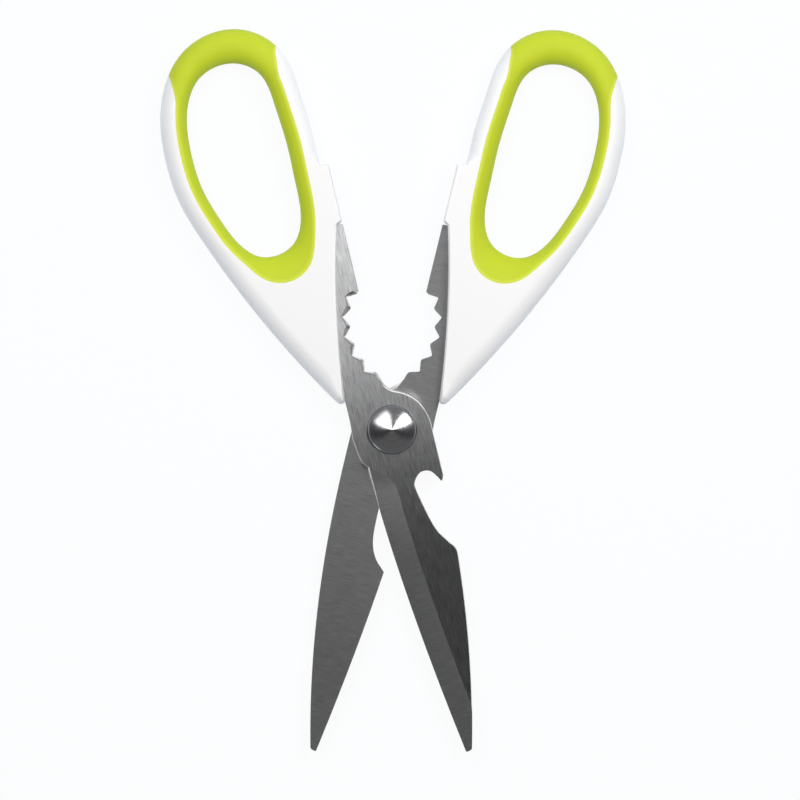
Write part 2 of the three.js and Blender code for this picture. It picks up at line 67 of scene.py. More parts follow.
bl_info = {
    "name": "Kitchen scissors",
    "version": (1, 0, 0),
    "blender": (4, 5, 0),
    "location": "View3D > Sidebar > Scissors",
    "description": "Makes the handles, soft liners, blades and rivet of a pair of kitchen scissors",
    "category": "Object",
}

MM = 0.001
PIVOT = Vector(frame["joints"][0]["pos_m"])
HALVES = ("front", "back")


def linear(hex_colour):
    """Linear colour with alpha from an sRGB hex value."""
    channels = [int(hex_colour[i:i + 2], 16) / 255 for i in (1, 3, 5)]
    return [c / 12.92 if c <= 0.04045 else ((c + 0.055) / 1.055) ** 2.4 for c in channels] + [1.0]


def length(name, description, millimetres):
    return FloatProperty(
        name=name, description=description, default=millimetres * MM, unit="LENGTH", precision=5)


def angle(name, description, degrees):
    return FloatProperty(name=name, description=description, default=math.radians(degrees), subtype="ANGLE")


def colour(name, description, hex_colour):
    return FloatVectorProperty(
        name=name, description=description, default=linear(hex_colour), size=4, min=0, max=1,
        subtype="COLOR")


def strength(name, description, value):
    return FloatProperty(name=name, description=description, default=value, min=0)


class ScissorsOpening(PropertyGroup):
    """How the two halves lie."""
    front: angle("Front half", "Turn of the front half away from the closing line", 13.3)
    back: angle("Back half", "Turn of the back half away from the closing line", 13.65)
    closing_gap: length("Closing gap", "Gap between the two halves when they are shut", 0.3)


class ScissorsHandle(PropertyGroup):
    """Sizes of a handle and its soft liner, with the half closed along Y and the pivot at the origin."""
    setback: length("Setback", "Closing line to the inner side of the bow", 2.8)
    hole_start: length("Hole start", "Pivot to the finger hole", 56.75)
    hole_width: length("Hole width", "Width of the finger hole", 27.7)
    hole_length: length("Hole length", "Length of the finger hole", 57.5)
    rim_side: length("Rim beside hole", "Width of the bow beside the finger hole", 7.75)
    rim_top: length("Rim at end", "Width of the bow at its end", 9.95)
    rim_lean: angle("Rim direction", "Direction in which the bow is widest", 72)
    soft_side: length("Liner beside hole", "Width of the soft liner beside the finger hole", 3.6)
    soft_shift: length("Liner shift", "How much wider the liner is on the inner side", 0.55)
    soft_top: length("Liner at end", "Finger hole to the crest of the bow's end", 4.9)
    soft_bottom: length("Liner ramp", "Width of the soft ramp towards the blades", 8.6)
    soft_lean: angle("Ramp direction", "Direction in which the soft ramp is widest", -77)
    lip_depth: length("Lip depth", "How far the liner dips where it meets the plastic", 0.12)
    lip_width: length("Lip width", "Width of that dip", 0.45)
    # The liner's paler edge is partly the white showing through and partly a painted highlight along the
    # seam
    thin_edge_sheen: length("Thin edge", "Width of the liner's edge that the white shows through", 1.2)
    flank_round: length("Flank rounding", "Rounding of the long outer edge, in plan", 4.8)
    flank_bulge: length("Flank bulge", "Crown of the long outer side", 1.7)
    nose_start: length("Nose", "Pivot to the end of the handle", 10.6)
    nose_width: length("Nose width", "Width of the end of the handle", 1.9)
    nose_round: length("Nose rounding", "Rounding of the edges at the nose", 0.85)
    nose_corner: length("Nose corner", "How far the corners of the nose are rounded", 1.6)
    edge_break: length("Edge break", "Rounding along the steel and the stop face", 0.5)
    corner_reach: length("Corner rounding", "How far the corners of the stop block are rounded", 0.7)
    steel_bow: length("Steel hollow", "Hollow of the line where the steel leaves the handle", 1.1)
    stop_start: length("Stop start", "Pivot to the lower end of the stop face", 62)
    stop_length: length("Stop length", "Length of the stop face", 17.4)
    stop_width: length("Stop width", "Part of the stop block that covers the end of the shank", 1.6)


class ScissorsBlade(PropertyGroup):
    """Sizes of the blades, with the half closed along Y and the pivot at the origin."""
    thickness: length("Thickness", "Thickness of the steel", 2.2)
    gap: length("Gap", "Gap between the inner faces of the blades", 0.2)
    reach: length("Reach", "Pivot to the tip", 96)
    heel_width: length("Heel half width", "Pivot to the sides of the blade beside the rivet", 11.4)
    heel_end: length("Heel end", "Pivot to the start of the cutting edge", 9)
    edge_start: length("Edge start", "Closing line to the cutting edge at the heel", 9.3)
    edge_land: length("Edge land", "Thickness left along the cutting edge", 0.3)
    edge_break: length("Edge break", "Break along the outer edges", 0.25)
    heel_break: length("Heel break", "Broader break along the top of the heel", 0.6)
    front_sweep: angle("Front sweep", "Direction from the pivot to where the front blade's fillet ends", 70)
    front_fillet: length("Front fillet", "Reach of the front blade's fillet between jaw and heel", 2.6)
    back_sweep: angle("Back sweep", "Direction from the pivot to where the back blade's fillet ends", 55)
    back_fillet: length("Back fillet", "Reach of the back blade's fillet between jaw and heel", 7)
    grind_width: length("Grind width", "Width of the ground strip along the cutting edge", 6.3)
    grind_start: length("Grind start", "Length over which the strip widens", 8)
    grind_tilt: angle("Grind tilt", "Slope of the strip at its start", 12.5)
    grind_runout: length("Grind run-out", "Length over which the strip takes on its full slope", 30)
    start_bevel: length("Start bevel", "Depth of the honed bevel where the cutting edge starts", 0.27)
    tip_width: length("Tip width", "Blunt end of the blade", 2.2)
    hook_reach: length("Hook reach", "Pivot to the point of the bottle hook", 17.8)
    hook_throat: length("Hook throat", "Depth of the hook's throat from the spine", 8.4)
    hook_length: length("Hook length", "Hook point to the lower end of its recess", 21.2)
    hook_point: length("Hook point", "Rounding of the hook's point", 1)
    notch_setback: length("Notch setback", "Cutting edge left above the bone notch", 2)
    notch_length: length("Notch length", "Length of the bone notch", 29.7)
    notch_depth: length("Notch depth", "Depth of the bone notch", 6.9)
    jaw_setback: length("Jaw setback", "Heel to the middle of the nut jaw", 18.1)
    jaw_radius: length("Jaw radius", "Radius through the roots of the teeth", 21)
    jaw_depth: length("Jaw depth", "Closing line to the deepest root", 7.05)
    tooth_count: IntProperty(name="Teeth", description="Teeth of the nut jaw", default=5, min=1)
    tooth_height: length("Tooth height", "Height of the teeth", 1.9)
    tooth_flat: length("Tooth flat", "Width of the tooth tips", 0.6)
    tooth_pitch: angle("Tooth pitch", "Turn from one tooth to the next", 15.8)
    tooth_turn: angle("Tooth direction", "Direction of the middle tooth", 188.5)
    tooth_bevel: length("Tooth bevel", "How far the tips of the teeth lean back", 1.3)
    tooth_land: length("Tooth land", "Upright part of the sides of the teeth", 1.6)
    tooth_round: length("Tooth rounding", "Rounding of the roots and tips of the teeth", 0.4)
    tip_round: length("Tip rounding", "Rounding of the corners of the tip", 0.55)
    hook_back: length("Hook back", "Rounding where the hook's slope meets the spine", 1.8)
    lead_in: length("Lead-in", "Chamfer of the back blade's heel that guides the blades together", 0.9)
    anchor_radius: length("Anchor radius", "Holes in the tang that the plastic grips through", 2.2)
    tang_cover: length("Tang cover", "Plastic left beside the tang", 4.6)
    tang_roof: length("Tang roof", "Plastic left between the tang and the liner", 3)


class ScissorsPivot(PropertyGroup):
    """Sizes of the rivet, its rear button and its spring washer."""
    middle_slope: angle("Middle slope", "Slope of the head next to its middle", 14.5)
    shoulder_slope: angle("Shoulder slope", "Slope of the head where its rounded shoulder begins", 24)
    shoulder: length("Shoulder rounding", "Radius of the head's rounded shoulder", 1.28)
    shank_radius: length("Shank radius", "Radius of the rivet's shank", 3)
    tenon_step: length("Tenon step", "How much thinner the tenon is than the shank", 1)
    floor: length("Button floor", "Thickness of the button under the tenon", 1)
    play: length("Play", "Room round the shank and between stacked pieces", 0.1)
    bevel: length("Button bevel", "Bevel of the button's edge", 0.5)
    washer_thickness: length("Washer thickness", "Thickness of the spring washer", 0.5)
    segments: IntProperty(name="Segments", description="Facets round the turned pieces", default=128, min=12)


class ScissorsFinish(PropertyGroup):
    """Colours of the materials."""
    plastic: colour("Plastic", "Moulded handle", "#F7F5F4")
    rubber: colour("Rubber", "Soft liner", "#C8D62C")
    # Paler edge colour: partly the white showing through, partly a painted highlight along the seam
    rubber_edge_sheen: colour("Rubber edge", "Thin edge of the liner, where the white shows through", "#DCE556")
    steel: colour("Steel", "Faces of the blades", "#C6C6C7")
    # Brighter than real steel: partly the honed finish, partly a painted highlight on the edge facets
    sheared_highlight: colour("Sheared steel", "Sheared and honed edges of the blades", "#F0EEEC")
    rivet: colour("Rivet", "Rivet, button and washer", "#939395")
    floor: colour("Floor", "Plain floor", "#E3F1FF")


class ScissorsStage(PropertyGroup):
    """Camera and light."""
    view_width: length("View width", "Width of the floor that the camera sees", 232)
    view_x: length("View centre X", "Middle of the view, to the right of the pivot", 2.3)
    view_y: length("View centre Y", "Middle of the view, towards the handles", 8.6)
    camera_height: length("Camera height", "Height of the camera above the floor", 1500)
    left_light: strength("Left light", "Radiance of the left softbox", 4.95)
    right_light: strength("Right light", "Radiance of the right softbox", 8.5)
    side_light: strength("Side light", "Radiance of the low, cool softbox", 3)
    surround: strength("Surround", "Brightness of the horizon", 1)


# Curves in plan

CORNER_ROOM = 0.45  # share of a side that the rounding of one of its corners may take


def polar(radians):
    return np.array([math.cos(radians), math.sin(radians)])


def outward_of(along):
    """Unit normal on the right-hand side of a direction, or of a row of them."""
    turned = np.stack([along[..., 1], -along[..., 0]], axis=-1)
    return turned / np.linalg.norm(turned, axis=-1, keepdims=True)


def bezier(points, steps):
    """Quadratic curve through its first and last point."""
    start, middle, end = (np.asarray(point, float) for point in points)
    share = np.linspace(0, 1, steps + 1)[:, None]
    return (1 - share) ** 2 * start + 2 * share * (1 - share) * middle + share ** 2 * end


def run_lengths(path):
    return np.concatenate([[0], np.cumsum(np.linalg.norm(np.diff(path, axis=0), axis=1))])


def resampled(path, start, end, steps):
    """Evenly spaced points of a path, cut back by a length at its start and at its end."""
    at = run_lengths(path)
    places = np.linspace(start, at[-1] - end, steps + 1)
    return np.stack([np.interp(places, at, path[:, axis]) for axis in (0, 1)], axis=1)


def rounded(points, reach, steps=4):
    """Open chain of points with its inner corners rounded, each by no more than its sides allow."""
    points = [np.asarray(point, float) for point in points]
    chain = [points[0][None]]
    for before, corner, after in zip(points, points[1:], points[2:]):
        back, ahead = before - corner, after - corner
        back_length, ahead_length = np.linalg.norm(back), np.linalg.norm(ahead)
        cut_back = min(reach, CORNER_ROOM * back_length, CORNER_ROOM * ahead_length)
        first = corner + back / back_length * cut_back
        last = corner + ahead / ahead_length * cut_back
        chain.append(bezier([first, corner, last], steps))
    return np.concatenate([*chain, points[-1][None]])


def spline(points, steps):
    """Smooth open curve through its points."""
    points = np.asarray(points, float)
    padded = np.concatenate([2 * points[:1] - points[1:2], points, 2 * points[-1:] - points[-2:-1]])
    curve = []
    for before, start, end, after in zip(padded, padded[1:], padded[2:], padded[3:]):
        share = np.arange(steps)[:, None] / steps
        square = 2 * before - 5 * start + 4 * end - after
        cube = 3 * start - before - 3 * end + after
        bend = square * share ** 2 + cube * share ** 3
        curve.append(start + 0.5 * ((end - before) * share + bend))
    return np.concatenate([*curve, points[-1:]])


class ClosedCurve:
    """Smooth closed curve through its points, read at shares of the way round."""

    def __init__(self, points):
        self.points = np.asarray(points, float)
        self.count = len(points)
        step = np.roll(self.points, -1, axis=0) - self.points
        self.chord = np.linalg.norm(step, axis=1)
        before = np.roll(self.chord, 1)
        matrix = np.diag(2 * (before + self.chord))
        for i in range(self.count):
            matrix[i, i - 1] += before[i]
            matrix[i, (i + 1) % self.count] += self.chord[i]
        slope = step / self.chord[:, None]
        self.bend = np.linalg.solve(matrix, 6 * (slope - np.roll(slope, 1, axis=0)))

    def at(self, shares):
        """Points and outward normals at the shares."""
        place = np.mod(shares, 1) * self.count
        i = np.floor(place).astype(int) % self.count
        j = (i + 1) % self.count
        far = (place - np.floor(place))[:, None]
        near = 1 - far
        chord = self.chord[i][:, None]
        bend = (near ** 3 - near) * self.bend[i] + (far ** 3 - far) * self.bend[j]
        point = near * self.points[i] + far * self.points[j] + bend * chord ** 2 / 6
        turn = (3 * far ** 2 - 1) * self.bend[j] - (3 * near ** 2 - 1) * self.bend[i]
        return point, outward_of((self.points[j] - self.points[i]) / chord + turn * chord / 6)


def loop_normals(loop):
    """Outward normals of a closed loop that runs anticlockwise."""
    return outward_of(np.roll(loop, -1, axis=0) - np.roll(loop, 1, axis=0))


# Outlines of a handle

# The finger hole: an egg, in shares of its half width and half length, from the left side
# down round the blade end, up the inner side and back over the bow's end
HOLE_SHAPE = np.array([
    (-1, 0.2), (-0.935, -0.19), (-0.735, -0.505), (-0.42, -0.825), (-0.09, -0.97), (0.275, -0.995),
    (0.665, -0.915), (0.905, -0.71), (0.98, -0.33), (0.99, 0.085), (0.93, 0.49), (0.76, 0.835),
    (0.435, 0.965), (0, 1), (-0.5, 0.91), (-0.84, 0.675),
])

# Shares of the way round the finger hole
INNER_JOIN = 0.537  # where the bow leaves the stop block
INNER_TONGUE = (0.66, 0.697)  # where the plastic leaves the liner, and where it ends at the outline
OUTER_TONGUE = (0.895, 0.955)  # where the plastic begins at the outline, and where it meets the liner
FLANK_JOIN = 1.125  # where the bow runs into the long outer side
BOW_SHARES = (INNER_JOIN, *INNER_TONGUE, *OUTER_TONGUE, FLANK_JOIN)
BOW_STEPS = (44, 40, 124, 60, 100)

# A section runs from the finger hole over the top to the outline: hollow side, flat, rounded edge
CREST = 0.45
EDGE = 0.6

# Rounding of the long outer edge
FLANK_SHARE = 0.7  # share of the web's width that it takes where the web is narrow
BOW_START_SHARE = 0.8  # share of it that the stop block reaches where the bow starts


def bow_centre(handle):
    return np.array([
        -handle.setback - handle.rim_side - handle.hole_width / 2,
        handle.hole_start + handle.hole_length / 2,
    ])


def finger_hole(handle):
    half_size = np.array([handle.hole_width, handle.hole_length]) / 2
    return ClosedCurve(bow_centre(handle) + HOLE_SHAPE * half_size)


def rim_width(handle, outward):
    end = np.maximum(0, outward @ polar(handle.rim_lean))
    return handle.rim_side + (handle.rim_top - handle.rim_side) * end ** 2


def soft_width(handle, outward):
    down = np.maximum(0, outward @ polar(handle.soft_lean))
    up = np.maximum(0, outward[..., 1])
    side = handle.soft_side + handle.soft_shift * outward[..., 0]
    ramp = (handle.soft_bottom - handle.soft_side) * down ** 4
    return side + ramp + (handle.soft_top - handle.soft_side) * up ** 2


def ramp_middle(handle):
    """Share of the way round at which the soft ramp reaches furthest towards the blades, and that place."""
    shares = np.linspace(1.2, 1.4, 201)
    hole, out = finger_hole(handle).at(shares)
    crest = hole + out * soft_width(handle, out)[:, None]
    lowest = np.argmin(crest[:, 1])
    return shares[lowest], crest[lowest]


def steel_line(handle, blade, opening):
    """Line where the steel leaves the handle, from the nose to the stop block."""
    nose = np.array([-blade.heel_width, handle.nose_start])
    top = np.array([-opening.closing_gap / 2 - handle.stop_width, handle.stop_start - handle.corner_reach])
    return bezier([nose, (nose + top) / 2 - [2 * handle.steel_bow, 0], top], 60)


def flank_line(handle, blade, flank_top):
    """Long outer side from the bow down to the nose."""
    nose = np.array([-blade.heel_width - handle.nose_width, handle.nose_start])
    middle = (nose + flank_top) / 2 + outward_of(flank_top - nose) * -2 * handle.flank_bulge
    return bezier([flank_top, middle, nose], 80)


def web_outline(handle, blade, opening, flank_top, bow_start, ramp_level):
    """Outline from the bow down the flank, round the nose, up the steel and round the stop block.

    Gives its points, their rounding, and how far down the middle line of the web each of them lies.
    """
    close_x = -opening.closing_gap / 2
    stop_top = handle.stop_start + handle.stop_length
    flank = flank_line(handle, blade, flank_top)
    steel = steel_line(handle, blade, opening)
    stop_block = [(close_x, handle.stop_start), (close_x, stop_top), (bow_start[0], stop_top)]
    corners = [steel[-1], *stop_block, bow_start]
    straight = [np.array(pair, float) for pair in zip(corners, corners[1:])]
    nose = np.array([flank[-1], steel[0]])
    upper, lower = (flank[flank[:, 1] >= ramp_level], flank[flank[:, 1] < ramp_level])
    lower = np.concatenate([upper[-1:], lower])
    rising, leaving = (steel[steel[:, 1] < ramp_level], steel[steel[:, 1] >= ramp_level])
    rising = np.concatenate([rising, leaving[:1]])
    runs = [upper, lower, nose, rising, leaving, *straight]
    # Steps along each run, as many up the steel as down the flank below the ramp
    ribs = 80
    steps = (70, ribs, 4, ribs, 24, 4, 30, 6, 12)
    corner, small = handle.corner_reach, handle.edge_break
    reach = [0, 0, handle.nose_corner, handle.nose_corner, 0, corner, corner, corner, corner, 0]
    last = len(runs) - 1
    points = []
    rounds = []
    depths = []
    for i, run in enumerate(runs):
        room = CORNER_ROOM * run_lengths(run)[-1]
        place = resampled(run, min(reach[i], room), min(reach[i + 1], room), steps[i])
        share = np.linspace(0, 1, steps[i] + 1)
        if i < 2:
            width = np.min(np.linalg.norm(place[:, None] - steel[None], axis=2), axis=1)
            radius = np.clip(FLANK_SHARE * width, handle.nose_round, handle.flank_round)
        elif i < 4:
            # The rounding of the nose fades out over the first quarter of the steel
            radius = np.clip(handle.nose_round * (1 - (i - 2) * 4 * share), small, None)
        else:
            growth = BOW_START_SHARE * handle.flank_round - small
            radius = np.full(steps[i] + 1, small) + growth * share * (i == last)
        depth = {1: share, 2: np.ones_like(share), 3: 1 - share}.get(i, np.zeros_like(share))
        points.append(place)
        rounds.append(radius)
        depths.append(depth)
        if i < last and reach[i + 1]:
            ahead = runs[i + 1]
            room = CORNER_ROOM * run_lengths(ahead)[-1]
            following = resampled(ahead, min(reach[i + 1], room), 0, 1)[0]
            bend = bezier([place[-1], run[-1], following], 5)[1:-1]
            points.append(bend)
            rounds.append(np.full(len(bend), radius[-1]))
            depths.append(np.full(len(bend), depth[-1]))
        elif i < last:
            for rows in (points, rounds, depths):
                rows[-1] = rows[-1][:-1]
    return np.concatenate(points)[:-1], np.concatenate(rounds)[:-1], np.concatenate(depths)[:-1]


class HandleSections:
    """Sections of a handle and its liner all round the finger hole, and where the two meet."""

    def __init__(self, handle, blade, opening, half_thickness):
        self.half_thickness = half_thickness
        hole = finger_hole(handle)
        bow = np.concatenate([
            np.linspace(start, end, steps, endpoint=False)
            for start, end, steps in zip(BOW_SHARES, BOW_SHARES[1:], BOW_STEPS)])
        ends, ends_out = hole.at(np.array([FLANK_JOIN, INNER_JOIN]))
        flank_top, bow_start = ends + ends_out * rim_width(handle, ends_out)[:, None]
        ramp_share, ramp_end = ramp_middle(handle)
        ramp_level = ramp_end[1] - 2 * handle.edge_break
        web, web_round, depth = web_outline(handle, blade, opening, flank_top, bow_start, ramp_level)
        ribbed = np.flatnonzero(depth > 0)
        before, after = ribbed[0], len(web) - ribbed[-1] - 1
        web_shares = np.concatenate([
            np.linspace(FLANK_JOIN, ramp_share, before, endpoint=False),
            np.full(len(ribbed), ramp_share),
            np.linspace(ramp_share, 1 + INNER_JOIN, after + 1)[:-1]])
        self.shares = np.concatenate([bow, web_shares])
        self.depth = np.concatenate([np.zeros(len(bow)), depth])
        self.hole, self.out = hole.at(self.shares)
        self.soft = soft_width(handle, self.out)
        self.rim = rim_width(handle, self.out)
        bow_outline = (self.hole + self.out * self.rim[:, None])[:len(bow)]
        self.outline = np.concatenate([bow_outline, web])
        self.outline_out = loop_normals(self.outline)
        self.crest = self.hole + self.out * self.soft[:, None]
        room = np.min(np.linalg.norm(self.outline[:, None] - self.crest[None], axis=2), axis=1)
        wanted = np.concatenate([np.full(len(bow), handle.flank_round), web_round])
        self.round = np.minimum(wanted, 0.94 * room)
        # The hollow side is round over the bow's end and nearly a plain slope on the ramp
        self.fullness = np.clip(0.35 + 0.9 * self.out[:, 1], 0.1, 1)
        self.seam = self.seam_places()
        self.shoulder = self.outline - self.outline_out * self.round[:, None]
        self.flat_start = np.where((self.depth > 0)[:, None], self.middle_line(ramp_end), self.crest)

    def middle_line(self, ramp_end):
        """Points half way between the flank and the steel, from the ramp down to the nose."""
        flank = slice(np.flatnonzero(self.depth > 0)[0], np.flatnonzero(self.depth == 1)[0] + 1)
        steel = slice(np.flatnonzero(self.depth == 1)[-1], np.flatnonzero(self.depth > 0)[-1] + 1)
        sides = []
        for part in (flank, steel):
            order = np.argsort(self.depth[part])
            at = self.depth[part][order]
            sides.append([np.interp(self.depth, at, self.shoulder[part][order][:, axis]) for axis in (0, 1)])
        middle = np.mean(sides, axis=0).T
        share = np.clip(self.depth / 0.5, 0, 1)[:, None]
        return ramp_end + (middle - ramp_end) * share

    def seam_places(self):
        """Where liner and plastic meet on each section: at the crest, or outside over the bow's end."""
        leave, reach = INNER_TONGUE
        start, meet = OUTER_TONGUE
        inner = np.clip((self.shares - leave) / (reach - leave), 0, 1) ** 1.5
        outer = np.clip((meet - self.shares) / (meet - start), 0, 1) ** 2.6
        along = np.minimum(inner, outer)
        width = (self.rim - self.soft) * along
        inset = np.maximum(self.rim - self.soft - width, 0)
        on_edge = EDGE + (1 - EDGE) * np.arcsin(1 - np.minimum(inset / self.round, 1)) / (math.pi / 2)
        flat = self.rim - self.soft - self.round
        on_flat = CREST + (EDGE - CREST) * np.minimum(width / np.maximum(flat, 1e-6), 1)
        return np.where(along == 0, CREST, np.where(width < flat, on_flat, on_edge))

    def inner_points(self, places):
        """Points of the hollow side, from 0 at the finger hole to CREST."""
        turn = np.clip(places / CREST, 0, 1) * math.pi / 2
        share = 1 - np.cos(turn)
        rise = self.fullness * np.sin(turn) + (1 - self.fullness) * share ** (2 / 3)
        flatness = 1.45 - 0.45 * np.clip(self.out[:, 1], 0, 1)
        rise = 1 - (1 - rise) ** flatness
        plan = self.hole + self.out * (self.soft * share)[:, None]
        return np.concatenate([plan, (rise * self.half_thickness)[:, None]], axis=1)

    def outer_points(self, places):
        """Points of the flat and the rounded edge, from CREST to 1 at the outline."""
        flat = np.clip((places - CREST) / (EDGE - CREST), 0, 1)[:, None]
        turn = np.clip((places - EDGE) / (1 - EDGE), 0, 1) * math.pi / 2
        level = self.flat_start + (self.shoulder - self.flat_start) * flat
        edge = self.outline - self.outline_out * (self.round * (1 - np.sin(turn)))[:, None]
        plan = np.where((places <= EDGE)[:, None], level, edge)
        return np.concatenate([plan, (np.cos(turn) * self.half_thickness)[:, None]], axis=1)

    def points(self, places):
        """Points at a place on each section, from 0 at the finger hole to 1 at the outline."""
        return np.where((places <= CREST)[:, None], self.inner_points(places), self.outer_points(places))


# Meshes

# Edges that turn by more than this stay sharp
MOULDED_SHARP = math.radians(40)
STAMPED_SHARP = math.radians(12)
TURNED_SHARP = math.radians(28)
CUTTER_SHARP = math.radians(30)


def grid_faces(faces, first, second, closed, skip=()):
    """Quads between two rows of vertex numbers."""
    count = len(first)
    for i in range(count if closed else count - 1):
        j = (i + 1) % count
        if i not in skip:
            faces.append((first[i], first[j], second[j], second[i]))


def shell_of(rows, closed, joined=()):
    """Vertices and quads of a body with its top given in rows and its underside mirrored at the mid-plane.

    No wall stands under the first row where it is joined to itself.
    """
    vertices = []
    faces = []
    numbers = []
    for row in rows:
        numbers.append(range(len(vertices), len(vertices) + len(row)))
        vertices.extend(row)
    for first, second in zip(numbers, numbers[1:]):
        grid_faces(faces, first, second, closed)
    offset = len(vertices)
    vertices.extend([(x, y, -z) for x, y, z in vertices])
    faces.extend([tuple(number + offset for number in reversed(face)) for face in list(faces)])
    for edge, skip in ((numbers[0], joined), (numbers[-1], ())):
        grid_faces(faces, edge, [number + offset for number in edge], closed, skip)
    return vertices, faces


def mesh_from(name, vertices, faces):
    mesh = bpy.data.meshes.new(name)
    mesh.from_pydata([tuple(vertex) for vertex in vertices], [], faces)
    return mesh


def tidied(mesh, smooth_angle, merge=0.002 * MM):
    """Closes seams and poles, points the faces outwards and smooths all but sharp edges."""
    work = bmesh.new()
    work.from_mesh(mesh)
    bmesh.ops.remove_doubles(work, verts=work.verts, dist=merge)
    bmesh.ops.dissolve_degenerate(work, edges=work.edges, dist=merge)
    bmesh.ops.recalc_face_normals(work, faces=work.faces)
    work.to_mesh(mesh)
    work.free()
    mesh.shade_smooth()
    mesh.set_sharp_from_angle(angle=smooth_angle)
    return mesh


def half_matrix(opening, half):
    """Place of a half, which is modelled closed: turned about the pivot, and the back one also over."""
    if half == "front":
        return Matrix.Translation(PIVOT) @ Matrix.Rotation(opening.front, 4, "Z")
    over = Matrix.Rotation(math.pi, 4, "Y")
    return Matrix.Translation(PIVOT) @ Matrix.Rotation(-opening.back, 4, "Z") @ over


def show(name, mesh):
    piece = bpy.data.objects.new(name, mesh)
    bpy.context.scene.collection.objects.link(piece)
    return piece


def stand_in(piece, node, body):
    """The piece shows in place of a solid of the frame and moves with its body."""
    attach(piece, body)
    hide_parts(node)


def place_half(context, half, name, mesh, node):
    """Shows a mesh that was modelled closed in the place of its half."""
    mesh.transform(half_matrix(context.scene.scissors_opening, half))
    stand_in(show(f"{half}_{name}", mesh), f"{half}_{node}", f"{half}_half")


# Materials

def add(tree, kind, settings=None, inputs=None):
    """Adds a node with its settings, and sets or links its inputs."""
    node = tree.nodes.new(kind)
    for name, value in (settings or {}).items():
        setattr(node, name, value)
    for name, value in (inputs or {}).items():
        if isinstance(value, bpy.types.NodeSocket):
            tree.links.new(value, node.inputs[name])
        else:
            node.inputs[name].default_value = value
    return node


def new_material(name):
    """Empty material with its output node."""
    material = bpy.data.materials.new(name)
    material.use_nodes = True
    material.node_tree.nodes.clear()
    return material, material.node_tree, add(material.node_tree, "ShaderNodeOutputMaterial")


def per_mm(millimetres):
    """Texture scale at which one wave of noise is that long."""
    return 1 / (millimetres * MM)


def shaded(tint, factor):
    """Lighter or darker tint."""
    return [min(1, channel * factor) for channel in tint[:3]] + [1]


def patterned(tree, output, tint, pattern, roughness, relief, settings):
    """Ends a material with a shader whose roughness and relief follow a pattern."""
    smoothest, roughest = roughness
    rough = add(tree, "ShaderNodeMapRange", inputs={
        "Value": pattern, "To Min": smoothest, "To Max": roughest})
    bump = add(tree, "ShaderNodeBump", inputs={
        "Height": pattern, "Strength": relief, "Distance": 0.05 * MM})
    shader = add(tree, "ShaderNodeBsdfPrincipled", inputs={
        "Base Color": tint, "Roughness": rough.outputs["Result"], "Normal": bump.outputs["Normal"],
        **settings})
    tree.links.new(shader.outputs["BSDF"], output.inputs["Surface"])


def moulded_abs(finish):
    """Satin white ABS: clean and bright, with soft highlights that waver a little.

    The skin of a real mould is finer than 0.1 mm. It is drawn coarser, so that it shows.
    """
    material, tree, output = new_material("moulded_white_abs")
    place = add(tree, "ShaderNodeTexCoord").outputs["Object"]
    flow = add(tree, "ShaderNodeTexNoise", inputs={"Vector": place, "Scale": per_mm(9), "Detail": 3})
    skin = add(tree, "ShaderNodeTexNoise", inputs={"Vector": place, "Scale": per_mm(0.5), "Detail": 2})
    tint = add(tree, "ShaderNodeMix", {"data_type": "RGBA"}, {
        0: flow.outputs["Fac"], "A": finish.plastic, "B": shaded(finish.plastic, 0.985)})
    patterned(
        tree, output, tint.outputs["Result"], skin.outputs["Fac"], roughness=(0.42, 0.5), relief=0.03,
        settings={"IOR": 1.53, "Specular IOR Level": 0.4})
    return material


def satin_rubber(finish):
    """Lime TPE moulded over the core: satin, slightly mottled, finely grained and paler at its thin edge
    (partly painted highlight).

    Its real grain is finer than 0.1 mm. It is drawn coarser, so that it shows.
    """
    material, tree, output = new_material("satin_lime_rubber")
    place = add(tree, "ShaderNodeTexCoord").outputs["Object"]
    cloud = add(tree, "ShaderNodeTexNoise", inputs={"Vector": place, "Scale": per_mm(6), "Detail": 4})
    grain = add(tree, "ShaderNodeTexNoise", inputs={"Vector": place, "Scale": per_mm(0.35), "Detail": 3})
    tint = add(tree, "ShaderNodeMix", {"data_type": "RGBA"}, {
        0: cloud.outputs["Fac"], "A": finish.rubber, "B": shaded(finish.rubber, 0.94)})
    # Paler at the thin edge: partly the white showing through, partly a painted highlight along the seam
    edge = add(tree, "ShaderNodeAttribute", {"attribute_name": "thin_edge_sheen"})
    pale = add(tree, "ShaderNodeMix", {"data_type": "RGBA"}, {
        0: edge.outputs["Fac"], "A": tint.outputs["Result"], "B": finish.rubber_edge_sheen})
    patterned(
        tree, output, pale.outputs["Result"], grain.outputs["Fac"], roughness=(0.58, 0.7), relief=0.1,
        settings={"IOR": 1.5, "Specular IOR Level": 0.3})
    return material


